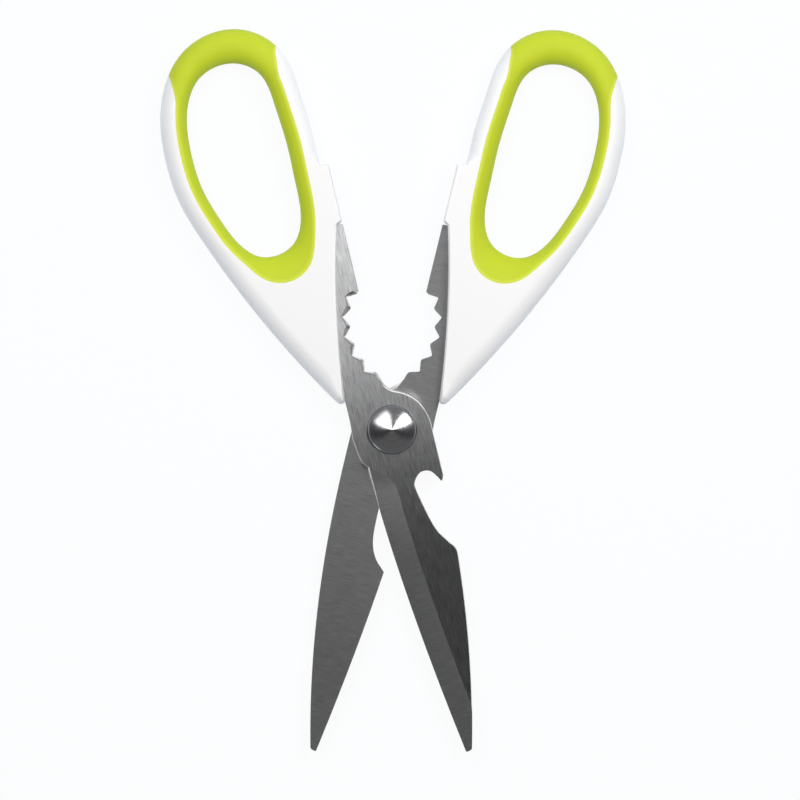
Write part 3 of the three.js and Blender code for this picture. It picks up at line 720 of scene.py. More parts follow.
def brushed_steel(name, steel, across, along, roughness, stretch, turn, tone, contrast, relief, painted_shank_light=0):
    """Stainless steel with a directional finish: streaks that smear its reflections one way.

    The streaks have a size in millimetres, a tone and a contrast. Real grinding lines are about
    0.03 mm apart. They are drawn coarser, so that they show. The last argument paints light: it
    says how much lighter the steel is drawn at the shank than at the tip, a painted lamp falloff.
    """
    cloud_size, cloud_share = 3, 0.25  # faint stains between the streaks
    tip, shank = -70, 50  # places along the blade, in millimetres
    material, tree, output = new_material(name)
    place = add(tree, "ShaderNodeUVMap", {"uv_map": "UVMap"}).outputs["UV"]
    drawn = add(tree, "ShaderNodeMapping", inputs={"Vector": place, "Scale": (1 / across, 1 / along, 1)})
    streak = add(tree, "ShaderNodeTexNoise", {"noise_dimensions": "2D"}, {
        "Vector": drawn.outputs["Vector"], "Scale": 1, "Detail": 5, "Roughness": 0.65})
    cloud = add(tree, "ShaderNodeTexNoise", {"noise_dimensions": "2D"}, {
        "Vector": place, "Scale": 1 / cloud_size, "Detail": 6, "Roughness": 0.7})
    mixed = add(tree, "ShaderNodeMath", {"operation": "MULTIPLY_ADD"}, {
        0: cloud.outputs["Fac"], 1: cloud_share, 2: streak.outputs["Fac"]})
    level = add(tree, "ShaderNodeMapRange", inputs={
        "Value": mixed.outputs["Value"], "From Min": 0.35, "From Max": 0.9, "To Min": 0.0, "To Max": 1.0})
    tint = add(tree, "ShaderNodeMix", {"data_type": "RGBA"}, {
        0: level.outputs["Result"],
        "A": shaded(steel, tone * (1 - contrast)), "B": shaded(steel, tone * (1 + contrast))})
    height = add(tree, "ShaderNodeSeparateXYZ", inputs={0: place}).outputs["Y"]
    # Painted light: lighter towards the shank, where the lamps' reflection is brighter, and darker towards
    # the tip
    lighter = add(tree, "ShaderNodeMapRange", inputs={
        "Value": height, "From Min": tip, "From Max": shank,
        "To Min": 1 - painted_shank_light / 2, "To Max": 1 + painted_shank_light / 2})
    painted_light_tint = add(tree, "ShaderNodeVectorMath", {"operation": "SCALE"}, {
        0: tint.outputs["Result"], "Scale": lighter.outputs["Result"]})
    rough = add(tree, "ShaderNodeMapRange", inputs={
        "Value": streak.outputs["Fac"], "From Min": 0.25, "From Max": 0.75,
        "To Min": roughness * 0.9, "To Max": roughness * 1.1})
    bump = add(tree, "ShaderNodeBump", inputs={
        "Height": streak.outputs["Fac"], "Strength": relief, "Distance": 0.02 * MM})
    tangent = add(tree, "ShaderNodeTangent", {"direction_type": "UV_MAP", "uv_map": "UVMap"})
    shader = add(tree, "ShaderNodeBsdfPrincipled", inputs={
        "Base Color": painted_light_tint.outputs["Vector"], "Metallic": 1.0, "Roughness": rough.outputs["Result"],
        "Normal": bump.outputs["Normal"], "Anisotropic": stretch, "Anisotropic Rotation": turn,
        "Tangent": tangent.outputs["Tangent"]})
    tree.links.new(shader.outputs["BSDF"], output.inputs["Surface"])
    return material


def polished_steel(finish):
    """Polished steel turned on a lathe: glossy, with rings about its axis that break up its reflections.

    Real turning marks are about 0.05 mm apart. They are drawn coarser, so that they show.
    """
    material, tree, output = new_material("polished_turned_steel")
    place = add(tree, "ShaderNodeTexCoord").outputs["Object"]
    flat = add(tree, "ShaderNodeVectorMath", {"operation": "MULTIPLY"}, {0: place, 1: (1, 1, 0)})
    radius = add(tree, "ShaderNodeVectorMath", {"operation": "LENGTH"}, {0: flat.outputs["Vector"]})
    rings = add(tree, "ShaderNodeTexNoise", {"noise_dimensions": "1D"}, {
        "W": radius.outputs["Value"], "Scale": per_mm(0.6), "Detail": 3})
    tint = add(tree, "ShaderNodeMix", {"data_type": "RGBA"}, {
        0: rings.outputs["Fac"], "A": shaded(finish.rivet, 0.65), "B": shaded(finish.rivet, 1.35)})
    patterned(
        tree, output, tint.outputs["Result"], rings.outputs["Fac"], roughness=(0.16, 0.22), relief=0.04,
        settings={"Metallic": 1.0})
    return material


def pale_floor(finish):
    """Matt white paper: white to the camera and in the steel, with part of the object's soft shadow."""
    plain_share = 0.93
    material, tree, output = new_material("pale_floor")
    path = add(tree, "ShaderNodeLightPath")
    seen = add(tree, "ShaderNodeMath", {"operation": "MAXIMUM"}, {
        0: path.outputs["Is Camera Ray"], 1: path.outputs["Is Glossy Ray"]})
    seen = add(tree, "ShaderNodeMath", {"operation": "MAXIMUM"}, {
        0: seen.outputs["Value"], 1: path.outputs["Is Transmission Ray"]})
    share = add(tree, "ShaderNodeMath", {"operation": "MULTIPLY"}, {
        0: seen.outputs["Value"], 1: plain_share})
    paper = add(tree, "ShaderNodeBsdfDiffuse", inputs={"Color": finish.floor})
    white = add(tree, "ShaderNodeEmission", inputs={"Color": (1, 1, 1, 1), "Strength": 1.0})
    mix = add(tree, "ShaderNodeMixShader", inputs={
        0: share.outputs["Value"], 1: paper.outputs["BSDF"], 2: white.outputs["Emission"]})
    tree.links.new(mix.outputs["Shader"], output.inputs["Surface"])
    return material


# Handles and liners

def sections_of(context):
    scene = context.scene
    low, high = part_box("front_handle")
    return HandleSections(
        scene.scissors_handle, scene.scissors_blade, scene.scissors_opening, (high.z - low.z) / 2)


class SCISSORS_OT_handles(Operator):
    """Make the two moulded handles"""
    bl_idname = "scissors.handles"
    bl_label = "Handles"

    def execute(self, context):
        sections = sections_of(context)
        start = np.argmin(np.abs(sections.shares - OUTER_TONGUE[0]))
        end = np.argmin(np.abs(sections.shares - INNER_TONGUE[1]))
        order = np.roll(np.arange(len(sections.shares)), -start)
        order = order[:(end - start) % len(order) + 1]
        flat_share = (EDGE - CREST) / (1 - CREST)
        rows = np.concatenate([
            np.linspace(0, flat_share, 13)[:-1], np.linspace(flat_share, 1, 25)])
        top = [sections.outer_points(sections.seam + (1 - sections.seam) * row)[order] for row in rows]
        joined = set(np.flatnonzero(sections.depth[order] > 0))
        joined.add(min(joined) - 1)
        vertices, faces = shell_of(top, closed=False, joined=joined)
        material = moulded_abs(context.scene.scissors_finish)
        for half in HALVES:
            mesh = tidied(mesh_from(f"{half}_handle_shell", vertices, faces), MOULDED_SHARP)
            mesh.materials.append(material)
            place_half(context, half, "handle_shell", mesh, "handle")
        return {"FINISHED"}


class SCISSORS_OT_liners(Operator):
    """Make the two soft liners of the bows"""
    bl_idname = "scissors.liners"
    bl_label = "Soft liners"

    def execute(self, context):
        sections = sections_of(context)
        handle = context.scene.scissors_handle
        edge = sections.points(sections.seam)
        top = []
        thin = []
        for row in np.linspace(0, 1, 49):
            points = sections.points(sections.seam * row)
            away = np.linalg.norm(points[:, :2] - edge[:, :2], axis=1)
            dip = handle.lip_depth * np.clip(1 - away / handle.lip_width, 0, 1) ** 2
            points[:, 2] = np.maximum(points[:, 2] - np.where(sections.seam < 1, dip, 0), 0)
            top.append(points)
            # Band along the seam that gets the paler colour, partly as painted highlight
            thin.append(np.where(sections.seam < 1, np.clip(1 - away / handle.thin_edge_sheen, 0, 1), 0))
        vertices, faces = shell_of(top, closed=True)
        material = satin_rubber(context.scene.scissors_finish)
        for half in HALVES:
            mesh = mesh_from(f"{half}_soft_liner", vertices, faces)
            edge_sheen_layer = mesh.attributes.new("thin_edge_sheen", "FLOAT", "POINT")
            edge_sheen_layer.data.foreach_set("value", np.concatenate([*thin, *thin]))
            mesh = tidied(mesh, MOULDED_SHARP)
            mesh.materials.append(material)
            place_half(context, half, "soft_liner", mesh, "grip")
        return {"FINISHED"}


# Blades

FILLET_STEPS = 8  # between the jaw and the heel
LENGTHWISE, CROSSWISE, GROUND, SHEARED = range(4)  # finishes of a blade


def sampled(start, end, steps, place):
    return np.array([place(at) for at in np.linspace(start, end, steps + 1)])


def spine_point(blade, along):
    """Point of the spine, which curves in more and more towards the tip."""
    share = max(0, (along - blade.heel_end) / (blade.reach - blade.heel_end))
    return blade.heel_width - (blade.heel_width - blade.tip_width / 2) * share ** 2.2, -along


def spine_end(blade):
    """Pivot to the end of the spine, a little short of the tip."""
    return blade.reach - blade.tip_width / 5


def edge_point(blade, along):
    """Point of the cutting edge, which curves out to the closing line at the tip."""
    share = (along - blade.heel_end) / (blade.reach - blade.heel_end)
    return -blade.edge_start + (blade.edge_start - blade.tip_width / 4) * share ** 1.55, -along


def jaw_centre(blade):
    return np.array([blade.jaw_radius - blade.jaw_depth, blade.heel_width + blade.jaw_setback])


def jaw_edge(blade, close_x):
    """Toothed edge from the shank down to the last tooth."""
    centre = jaw_centre(blade)
    tip_radius = blade.jaw_radius - blade.tooth_height
    half_tip = blade.tooth_flat / 2 / tip_radius
    first = blade.tooth_turn - (blade.tooth_count - 1) / 2 * blade.tooth_pitch
    teeth = []
    for tooth in range(blade.tooth_count):
        turn = first + tooth * blade.tooth_pitch
        teeth.append(centre + polar(turn - blade.tooth_pitch / 2) * blade.jaw_radius)
        teeth.append(centre + polar(turn - half_tip) * tip_radius)
        teeth.append(centre + polar(turn + half_tip) * tip_radius)
    entry = teeth[0]
    corner = blade.tooth_flat
    return [
        np.array([close_x, entry[1] + 1.6 * corner]),
        np.array([close_x - corner, entry[1] + 0.6 * corner]),
        np.array([entry[0] + blade.tooth_height / 2, entry[1] + 0.2 * corner]),
        *teeth,
    ]


def heel_top(blade, last_tooth, sweep, fillet):
    """From the jaw over the round part beside the rivet to the spine."""
    shoulder = polar(sweep) * blade.heel_width
    middle = shoulder + polar(sweep + math.pi / 2) * fillet
    start = (last_tooth + middle) / 2
    arc = sampled(sweep * 0.95, 0, 24, lambda at: polar(at) * blade.heel_width)
    return np.concatenate([bezier([start, middle, shoulder], FILLET_STEPS), arc])


def hooked_spine(blade):
    """Spine with the bottle hook: a round throat behind the point, then a long slope back to the spine."""
    # Shares of the throat's depth and of the recess's length
    shape = [
        (0.2, -0.065), (0.42, -0.17), (0.74, -0.18), (0.99, -0.075), (1, 0.065), (0.69, 0.58), (0.31, 0.84)]
    corner = np.array([blade.heel_width, -blade.hook_reach])
    throat = spline([
        corner - [depth * blade.hook_throat, at * blade.hook_length] for depth, at in shape], 9)
    point = [corner + np.array(at) * blade.hook_point for at in ((0.1, 1.6), (-0.4, 0.3), (-1, 0))]
    back = blade.hook_reach + 0.93 * blade.hook_length
    rest = sampled(back + blade.hook_back, spine_end(blade), 40, lambda at: spine_point(blade, at))
    shoulder = np.array(spine_point(blade, back))
    slope = shoulder - throat[-1]
    turn = bezier([shoulder - slope / np.linalg.norm(slope) * blade.hook_back, shoulder, rest[0]], 8)
    tip = rounded([*point, throat[0]], 0.5 * blade.hook_point)
    return np.concatenate([tip, throat[1:], turn[:-1], rest])


def plain_spine(blade):
    return sampled(blade.heel_end, spine_end(blade), 60, lambda at: spine_point(blade, at))


def plain_edge(blade):
    return sampled(blade.reach, blade.heel_end, 60, lambda at: edge_point(blade, at))


def notched_edge(blade):
    """Cutting edge with a long rounded notch next to the pivot."""
    start = blade.heel_end + blade.notch_setback
    # Shares of the notch's length and depth
    shape = [(1, 0), (0.88, 0.54), (0.72, 0.86), (0.48, 1), (0.3, 1), (0.12, 0.7), (0, 0)]
    notch = spline([
        np.array(edge_point(blade, start + at * blade.notch_length)) + [depth * blade.notch_depth, 0]
        for at, depth in shape], 10)
    end = start + blade.notch_length + blade.tooth_flat
    low = sampled(blade.reach, end, 40, lambda at: edge_point(blade, at))
    return np.concatenate([low, notch, [edge_point(blade, blade.heel_end)]])


def tang_outline(handle, blade, opening):
    """What is left of the shank inside the handle, and the holes that the plastic grips through."""
    # The roof follows the lower end of the finger hole; the other places are shares of flank and steel
    hole, out = finger_hole(handle).at(np.array([0.3125, 0.35, 0.3875]))
    roof = hole + out * (soft_width(handle, out) + blade.tang_roof)[:, None]
    ends, ends_out = finger_hole(handle).at(np.array([FLANK_JOIN]))
    flank = flank_line(handle, blade, (ends + ends_out * rim_width(handle, ends_out)[:, None])[0])[::-1]
    shoulder, waist = (flank[int(len(flank) * share)] + [blade.tang_cover, 0] for share in (0.16, 0.42))
    corner = 2 * MM
    steel = steel_line(handle, blade, opening)
    outline = [
        (-blade.heel_width, handle.nose_start + corner), shoulder, waist,
        (waist[0], roof[0][1] - corner), (waist[0] + corner, roof[0][1]), *roof,
        (steel[-1][0] - handle.stop_width, steel[-1][1]), (-opening.closing_gap / 2, steel[-1][1])]
    low, high = (steel[int(len(steel) * share)] for share in (0.38, 0.66))
    anchors = [
        (shoulder * 0.3 + waist * 0.7 + low) / 2,
        (waist + roof[0]) * 0.3 + high * 0.4,
        (roof[1] + high) / 2]
    return np.array(outline), anchors


def plate(levels, holes):
    """Vertices and faces of a plate from its outline at each height, and upright holes."""
    vertices = []
    faces = []
    starts = []
    for height, outline in levels:
        starts.append(len(vertices))
        for loop in (outline, *holes):
            vertices.extend((x, y, height) for x, y in loop)
    for low, high in zip(starts, starts[1:]):
        first = 0
        for loop in (levels[0][1], *holes):
            ring = [first + i for i in range(len(loop))]
            grid_faces(faces, [low + i for i in ring], [high + i for i in ring], closed=True)
            first += len(loop)
    for start, (_, outline) in zip((starts[0], starts[-1]), (levels[0], levels[-1])):
        flat = [[Vector((x, y, 0)) for x, y in loop] for loop in (outline, *holes)]
        faces.extend(tuple(start + corner for corner in triangle) for triangle in tessellate_polygon(flat))
    return vertices, faces


def circle(centre, radius, steps=48):
    return np.array([centre + polar(math.tau * i / steps) * radius for i in range(steps)])


def prism(name, low_loop, high_loop):
    """Cutter between two loops of as many points."""
    count = len(low_loop)
    faces = [(i, (i + 1) % count, count + (i + 1) % count, count + i) for i in range(count)]
    faces += [tuple(range(count)), tuple(range(count, 2 * count))]
    return tidied(mesh_from(name, [*low_loop, *high_loop], faces), CUTTER_SHARP)


def edge_cutter(name, blade, edge, depth, width):
    """What lies above a slope from a depth at the cutting edge up to the outer face at a width from it."""
    past = 0.5  # how far the slope is carried on past the outer face, as a share of it
    outer = blade.gap / 2 + blade.thickness
    clear = -blade.edge_start - blade.heel_width
    low = [(x, y, outer - down) for (x, y), down in zip(edge, depth)]
    high = [
        (x + (1 + past) * across, y, outer + past * down)
        for (x, y), down, across in zip(edge, depth, width)]
    for i in (-1, 0):
        low.append((clear, edge[i][1], outer - depth[i]))
        high.append((clear, edge[i][1], outer + past * depth[i]))
    return prism(name, low, high)


def edge_cutters(blade):
    """The ground strip, which goes deeper over its run-out, and a honed bevel where the edge starts."""
    full_depth = blade.thickness - blade.edge_land
    edge = sampled(blade.heel_end, blade.reach + blade.tip_width, 160, lambda at: edge_point(blade, at))
    along = -edge[:, 1] - blade.heel_end
    start = np.clip(along / blade.grind_start, 0, 1)
    width = blade.grind_width * np.sin(start * math.pi / 2) + blade.edge_land
    full_slope = full_depth / (blade.grind_width + blade.edge_land)
    slope = np.interp(along, [0, blade.grind_runout], [math.tan(blade.grind_tilt), full_slope])
    depth = width * slope
    # The bevel keeps its depth over a length, and then rises till it has left the strip
    bevel_run = 0.9 * blade.grind_start
    fading = np.clip(2 - along / bevel_run, -1, 1)
    bevel = np.minimum(depth + blade.start_bevel * fading, full_depth + blade.edge_land / 2)
    bevel_width = bevel * 1.07  # honed at about 43 degrees
    return (
        edge_cutter("grind_cutter", blade, edge, depth, width),
        edge_cutter("bevel_cutter", blade, edge, bevel, bevel_width))


def cut(mesh, *cutters):
    """Mesh with the cutters taken away from it."""
    target = show("cut_target", mesh)
    tools = [show(cutter.name, cutter) for cutter in cutters]
    for tool in tools:
        modifier = target.modifiers.new(tool.name, "BOOLEAN")
        modifier.operation = "DIFFERENCE"
        modifier.solver = "EXACT"
        modifier.object = tool
    graph = bpy.context.evaluated_depsgraph_get()
    result = bpy.data.meshes.new_from_object(target.evaluated_get(graph))
    for scratch in (target, *tools):
        bpy.data.objects.remove(scratch)
    return result


def lay_finish(mesh, blade):
    """Material of each face by where it lies, and a UV map in millimetres with U across the blade.

    A face is flat, and may belong to the ground strip, by how far its normal leans from upright.
    """
    uv_map = mesh.uv_layers.new(name="UVMap")
    for face in mesh.polygons:
        x, y, z = face.normal
        flat = abs(z) > 0.85
        level = 0.9995 if face.center.y < -blade.heel_end else 0.985
        ground_strip = flat and 0 < z < level
        face.use_smooth = ground_strip or not flat
        if not flat:
            face.material_index = SHEARED
        elif ground_strip:
            face.material_index = GROUND
        else:
            face.material_index = CROSSWISE if z < 0 else LENGTHWISE
        upright = abs(z) < 0.3
        for loop in face.loop_indices:
            place = mesh.vertices[mesh.loops[loop].vertex_index].co / MM
            uv_map.data[loop].uv = (place.z, x * place.y - y * place.x) if upright else (place.x, place.y)


def blade_levels(blade, outline, lean, lead, broad):
    """Outline at each height: leaning teeth, a lead-in on the inner face and broken outer edges."""
    normals = loop_normals(outline)
    away = outline - jaw_centre(blade)
    radius = np.linalg.norm(away, axis=1)
    # The bevel is broadest at the tips of the teeth and on the sides of them that face the blade's tip
    towards_tip = np.clip((blade.jaw_radius - radius) / blade.tooth_height, 0, 1)
    below = np.clip(-1.5 * normals[:, 1], 0, 1)
    bevel = blade.tooth_bevel * (0.3 + 0.7 * towards_tip) * (0.7 + 0.3 * below)
    away = away / radius[:, None] * (lean * bevel)[:, None]
    inner, outer = blade.gap / 2, blade.gap / 2 + blade.thickness
    land = inner + blade.tooth_land
    chamfer = blade.edge_break
    inset = normals * (chamfer + (blade.heel_break - chamfer) * broad)[:, None]
    guide = normals * (lead * blade.lead_in)[:, None]
    levels = [
        (inner, outline - normals * chamfer / 4 - guide),
        (inner + chamfer / 4, outline - guide * 0.8),
        (inner + blade.tooth_land / 2, outline),
        (land, outline)]
    for turn in np.linspace(0, math.pi / 2, 4):
        height = outer - chamfer * (1 - math.sin(turn))
        share = (height - land) / (outer - land)
        levels.append((height, outline + away * share - inset * (1 - math.cos(turn))))
    return levels


def blade_outlines(blade, jaw, heel, spine, edge, rear, lead_in):
    """Outline of a blade at each height: round its teeth, heel, spine, tip and edge to the rear."""
    corner_points = 5  # points over which the lean of the teeth sets in at the corner of the shank
    lead_middle, lead_spread = 5, 3  # points of the heel where the lead-in lies
    teeth = rounded([*jaw, heel[0]], blade.tooth_round, 8)[:-1]
    tip = rounded([spine[-2], spine[-1], edge[0], edge[1]], blade.tip_round, 6)[1:-1]
    outline = np.concatenate([teeth, heel, spine[:-1], tip, edge[1:], rear])
    on_heel = slice(len(teeth), len(teeth) + len(heel))
    heel_points = np.arange(len(heel))
    lean, lead, broad = np.zeros((3, len(outline)))
    lean[:len(teeth)] = np.clip(np.arange(len(teeth)) / corner_points, 0, 1)
    lean[on_heel] = np.clip(1 - heel_points / FILLET_STEPS, 0, 1)
    lead[on_heel] = np.exp(-((heel_points - lead_middle) / lead_spread) ** 2) * lead_in
    broad[on_heel] = np.sin(np.linspace(0, math.pi, len(heel))) ** 0.5
    return blade_levels(blade, outline[::-1], lean[::-1], lead[::-1], broad[::-1])


def blade_finishes(finish):
    """Finishes of a blade, in the order of their numbers."""
    ground = {
        "across": 5, "along": 0.17, "roughness": 0.42, "stretch": 0.9, "turn": 0.25,
        "contrast": 0.27, "relief": 0.1}
    return (
        brushed_steel(
            "lengthwise_brushed_steel", finish.steel, across=0.28, along=5, roughness=0.3, stretch=1, turn=0,
            tone=0.66, contrast=0.38, relief=0.01),
        # The inner faces carry a painted light falloff, lighter at the shank than at the tip
        brushed_steel("crosswise_ground_steel", finish.steel, **ground, tone=0.58, painted_shank_light=0.6),
        # The ground strip is the ground finish drawn darker: painted shade of what it reflects
        brushed_steel("edge_ground_steel_painted_dark", finish.steel, **ground, tone=0.37),
        # Sheared edges: partly a honed finish, partly painted highlight, brighter than real steel
        brushed_steel(
            "sheared_edge_steel_painted_bright", finish.sheared_highlight, across=1, along=1, roughness=0.24, stretch=0, turn=0,
            tone=1, contrast=0.1, relief=0.1))


class SCISSORS_OT_blades(Operator):
    """Make the two blades with their shanks, jaws, hook and notch"""
    bl_idname = "scissors.blades"
    bl_label = "Blades"

    def execute(self, context):
        scene = context.scene
        blade = scene.scissors_blade
        opening = scene.scissors_opening
        tang, anchors = tang_outline(scene.scissors_handle, blade, opening)
        jaw = jaw_edge(blade, -opening.closing_gap / 2)
        front_heel = heel_top(blade, jaw[-1], blade.front_sweep, blade.front_fillet)
        back_heel = heel_top(blade, jaw[-1], blade.back_sweep, blade.back_fillet)
        corner = blade.tooth_flat
        side = [
            (-blade.heel_width + corner, -blade.heel_end + 3 * corner),
            (-blade.heel_width - corner / 2, 0),
            (-blade.heel_width, scene.scissors_handle.nose_start / 2)]
        holes = [circle(np.zeros(2), scene.scissors_pivot.shank_radius + scene.scissors_pivot.play)]
        holes += [circle(anchor, blade.anchor_radius) for anchor in anchors]
        finishes = blade_finishes(scene.scissors_finish)
        forms = {
            "front": (front_heel, hooked_spine(blade), plain_edge(blade), 0),
            "back": (back_heel, plain_spine(blade), notched_edge(blade), 1)}
        rear = np.concatenate([side, tang])
        for half, (heel, spine, edge, lead_in) in forms.items():
            levels = blade_outlines(blade, jaw, heel, spine, edge, rear, lead_in)
            mesh = tidied(mesh_from(f"{half}_blade_steel", *plate(levels, holes)), STAMPED_SHARP)
            mesh = tidied(cut(mesh, *edge_cutters(blade)), STAMPED_SHARP)
            mesh.name = f"{half}_blade_steel"
            mesh.materials.clear()
            for material in finishes:
                mesh.materials.append(material)
            lay_finish(mesh, blade)
            place_half(context, half, "blade_steel", mesh, "blade")
        return {"FINISHED"}


# Pivot

def turned_tree(material):
    """Geometry nodes that turn a profile of radius and height round the Z axis."""
    tree = bpy.data.node_groups.new("turned_piece", "GeometryNodeTree")
    sockets = tree.interface
    sockets.new_socket("Profile", in_out="INPUT", socket_type="NodeSocketGeometry")
    segments = sockets.new_socket("Segments", in_out="INPUT", socket_type="NodeSocketInt")
    sockets.new_socket("Turned", in_out="OUTPUT", socket_type="NodeSocketGeometry")
    source = add(tree, "NodeGroupInput")
    size = add(tree, "GeometryNodeAttributeDomainSize", inputs={"Geometry": source.outputs["Profile"]})
    rows = size.outputs["Point Count"]
    columns = add(tree, "ShaderNodeMath", {"operation": "ADD"}, {0: source.outputs["Segments"], 1: 1})
    grid = add(tree, "GeometryNodeMeshGrid", inputs={
        "Vertices X": columns.outputs["Value"], "Vertices Y": rows})
    index = add(tree, "GeometryNodeInputIndex").outputs["Index"]
    row = add(tree, "ShaderNodeMath", {"operation": "FLOORED_MODULO"}, {0: index, 1: rows})
    column = add(tree, "ShaderNodeMath", {"operation": "DIVIDE"}, {0: index, 1: rows})
    column = add(tree, "ShaderNodeMath", {"operation": "FLOOR"}, {0: column.outputs["Value"]})
    share = add(tree, "ShaderNodeMath", {"operation": "DIVIDE"}, {
        0: column.outputs["Value"], 1: source.outputs["Segments"]})
    turn = add(tree, "ShaderNodeMath", {"operation": "MULTIPLY"}, {0: share.outputs["Value"], 1: math.tau})
    place = add(tree, "GeometryNodeInputPosition")
    profile = add(tree, "GeometryNodeSampleIndex", {"data_type": "FLOAT_VECTOR"}, {
        "Geometry": source.outputs["Profile"], "Value": place.outputs["Position"],
        "Index": row.outputs["Value"]})
    spun = add(tree, "ShaderNodeVectorRotate", {"rotation_type": "Z_AXIS"}, {
        "Vector": profile.outputs["Value"], "Angle": turn.outputs["Value"]})
    formed = add(tree, "GeometryNodeSetPosition", inputs={
        "Geometry": grid.outputs["Mesh"], "Position": spun.outputs["Vector"]})
    closed = add(tree, "GeometryNodeMergeByDistance", inputs={
        "Geometry": formed.outputs["Geometry"], "Distance": 0.001 * MM})
    real = add(tree, "GeometryNodeRealizeInstances", inputs={"Geometry": closed.outputs["Geometry"]})
    dressed = add(tree, "GeometryNodeSetMaterial", inputs={
        "Geometry": real.outputs["Geometry"], "Material": material})
    add(tree, "NodeGroupOutput", inputs={"Turned": dressed.outputs["Geometry"]})
    return tree, segments.identifier


def turned(name, tree, segments_socket, segments, profile):
    """Plain mesh of a profile of radius and height, turned by the geometry nodes."""
    chain = [(i, i + 1) for i in range(len(profile) - 1)]
    mesh = bpy.data.meshes.new(f"{name}_profile")
    mesh.from_pydata([(radius, 0, height) for radius, height in profile], chain, [])
    holder = show(f"{name}_profile", mesh)
    modifier = holder.modifiers.new("turned", "NODES")
    modifier.node_group = tree
    modifier[segments_socket] = segments
    graph = bpy.context.evaluated_depsgraph_get()
    result = bpy.data.meshes.new_from_object(holder.evaluated_get(graph))
    bpy.data.objects.remove(holder)
    result.name = name
    return tidied(result, TURNED_SHARP)


def arc_profile(centre, radius, start, end, steps):
    """Rounded stretch of a profile, as radius and height."""
    return [tuple(centre + polar(math.radians(at)) * radius) for at in np.linspace(start, end, steps + 1)]


def rivet_profile(pivot, low, high, head_low, head_radius):
    """Tenon, shank and a head like a shallow cone, steeper towards its rounded shoulder."""
    tenon = pivot.shank_radius - pivot.tenon_step
    tenon_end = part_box("pivot_button")[1].z + pivot.play
    break_edge = 0.1 * MM
    start, end = math.tan(pivot.middle_slope), math.tan(pivot.shoulder_slope)
    reach = head_radius - pivot.shoulder * (1 - math.sin(pivot.shoulder_slope))
    head = [
        (reach * share, high - reach * (start * share + (end - start) * share ** 4 / 4))
        for share in np.linspace(1, 0.02, 50)]
    drop = pivot.shoulder * math.cos(pivot.shoulder_slope)
    centre = np.array([head_radius - pivot.shoulder, head[0][1] - drop])
    shoulder = arc_profile(centre, pivot.shoulder, 0, 90 - math.degrees(pivot.shoulder_slope), 8)
    return [
        (0, low), (tenon, low), (tenon, tenon_end), (pivot.shank_radius, tenon_end),
        (pivot.shank_radius, head_low), (head_radius - break_edge, head_low),
        (head_radius, head_low + break_edge), *shoulder, *head[1:], (0, high)]


class SCISSORS_OT_pivot(Operator):
    """Make the rivet, its rear button and its spring washer"""
    bl_idname = "scissors.pivot"
    bl_label = "Rivet"

    def execute(self, context):
        pivot = context.scene.scissors_pivot
        blade = context.scene.scissors_blade
        rivet_low, rivet_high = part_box("pivot_rivet")
        button_low, button_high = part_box("pivot_button")
        washer_low, washer_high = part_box("spring_washer")
        head_low = PIVOT.z + blade.gap / 2 + blade.thickness + pivot.play
        tenon = pivot.shank_radius - pivot.tenon_step + pivot.play
        bore = pivot.shank_radius + 2 * pivot.play
        round_centre = np.array([button_high.x - pivot.bevel, button_low.z + pivot.bevel])
        rivet = rivet_profile(pivot, rivet_low.z, rivet_high.z, head_low, rivet_high.x)
        button = [
            (0, button_low.z), (button_high.x - pivot.bevel, button_low.z),
            *arc_profile(round_centre, pivot.bevel, -80, 0, 6),
            (button_high.x, button_high.z), (tenon, button_high.z),
            (tenon, pivot.floor), (0, pivot.floor)]
        washer = [
            (bore, washer_high.z - pivot.washer_thickness), (washer_high.x, washer_low.z),
            (washer_high.x, washer_low.z + pivot.washer_thickness), (bore, washer_high.z),
            (bore, washer_high.z - pivot.washer_thickness)]
        pieces = (
            ("domed_rivet", "pivot_rivet", "rivet_steel", rivet),
            ("rear_button", "pivot_button", "rivet_steel", button),
            ("dished_washer", "spring_washer", "blade_steel", washer))
        tree, segments_socket = turned_tree(polished_steel(context.scene.scissors_finish))
        for name, node, slot, profile in pieces:
            mesh = turned(name, tree, segments_socket, pivot.segments, profile)
            stand_in(show(name, mesh), node, "front_half")
        return {"FINISHED"}


# Stage

def softbox(name, azimuth, elevation, distance, width, height, radiance, tint=(1, 1, 1)):
    """Area lamp that faces the pivot, with angles in degrees and azimuth from the handles to the right."""
    lamp = bpy.data.lights.new(name, "AREA")
    lamp.color = tint
    lamp.shape = "RECTANGLE"
    lamp.size = width
    lamp.size_y = height
    lamp.energy = radiance * width * height * math.pi
    holder = bpy.data.objects.new(name, lamp)
    turn, rise = math.radians(azimuth), math.radians(elevation)
    towards = Vector((math.sin(turn) * math.cos(rise), math.cos(turn) * math.cos(rise), math.sin(rise)))
    holder.location = PIVOT + towards * distance
    holder.rotation_mode = "QUATERNION"
    holder.rotation_quaternion = towards.to_track_quat("Z", "Y")
    holder.visible_camera = False
    bpy.context.scene.collection.objects.link(holder)


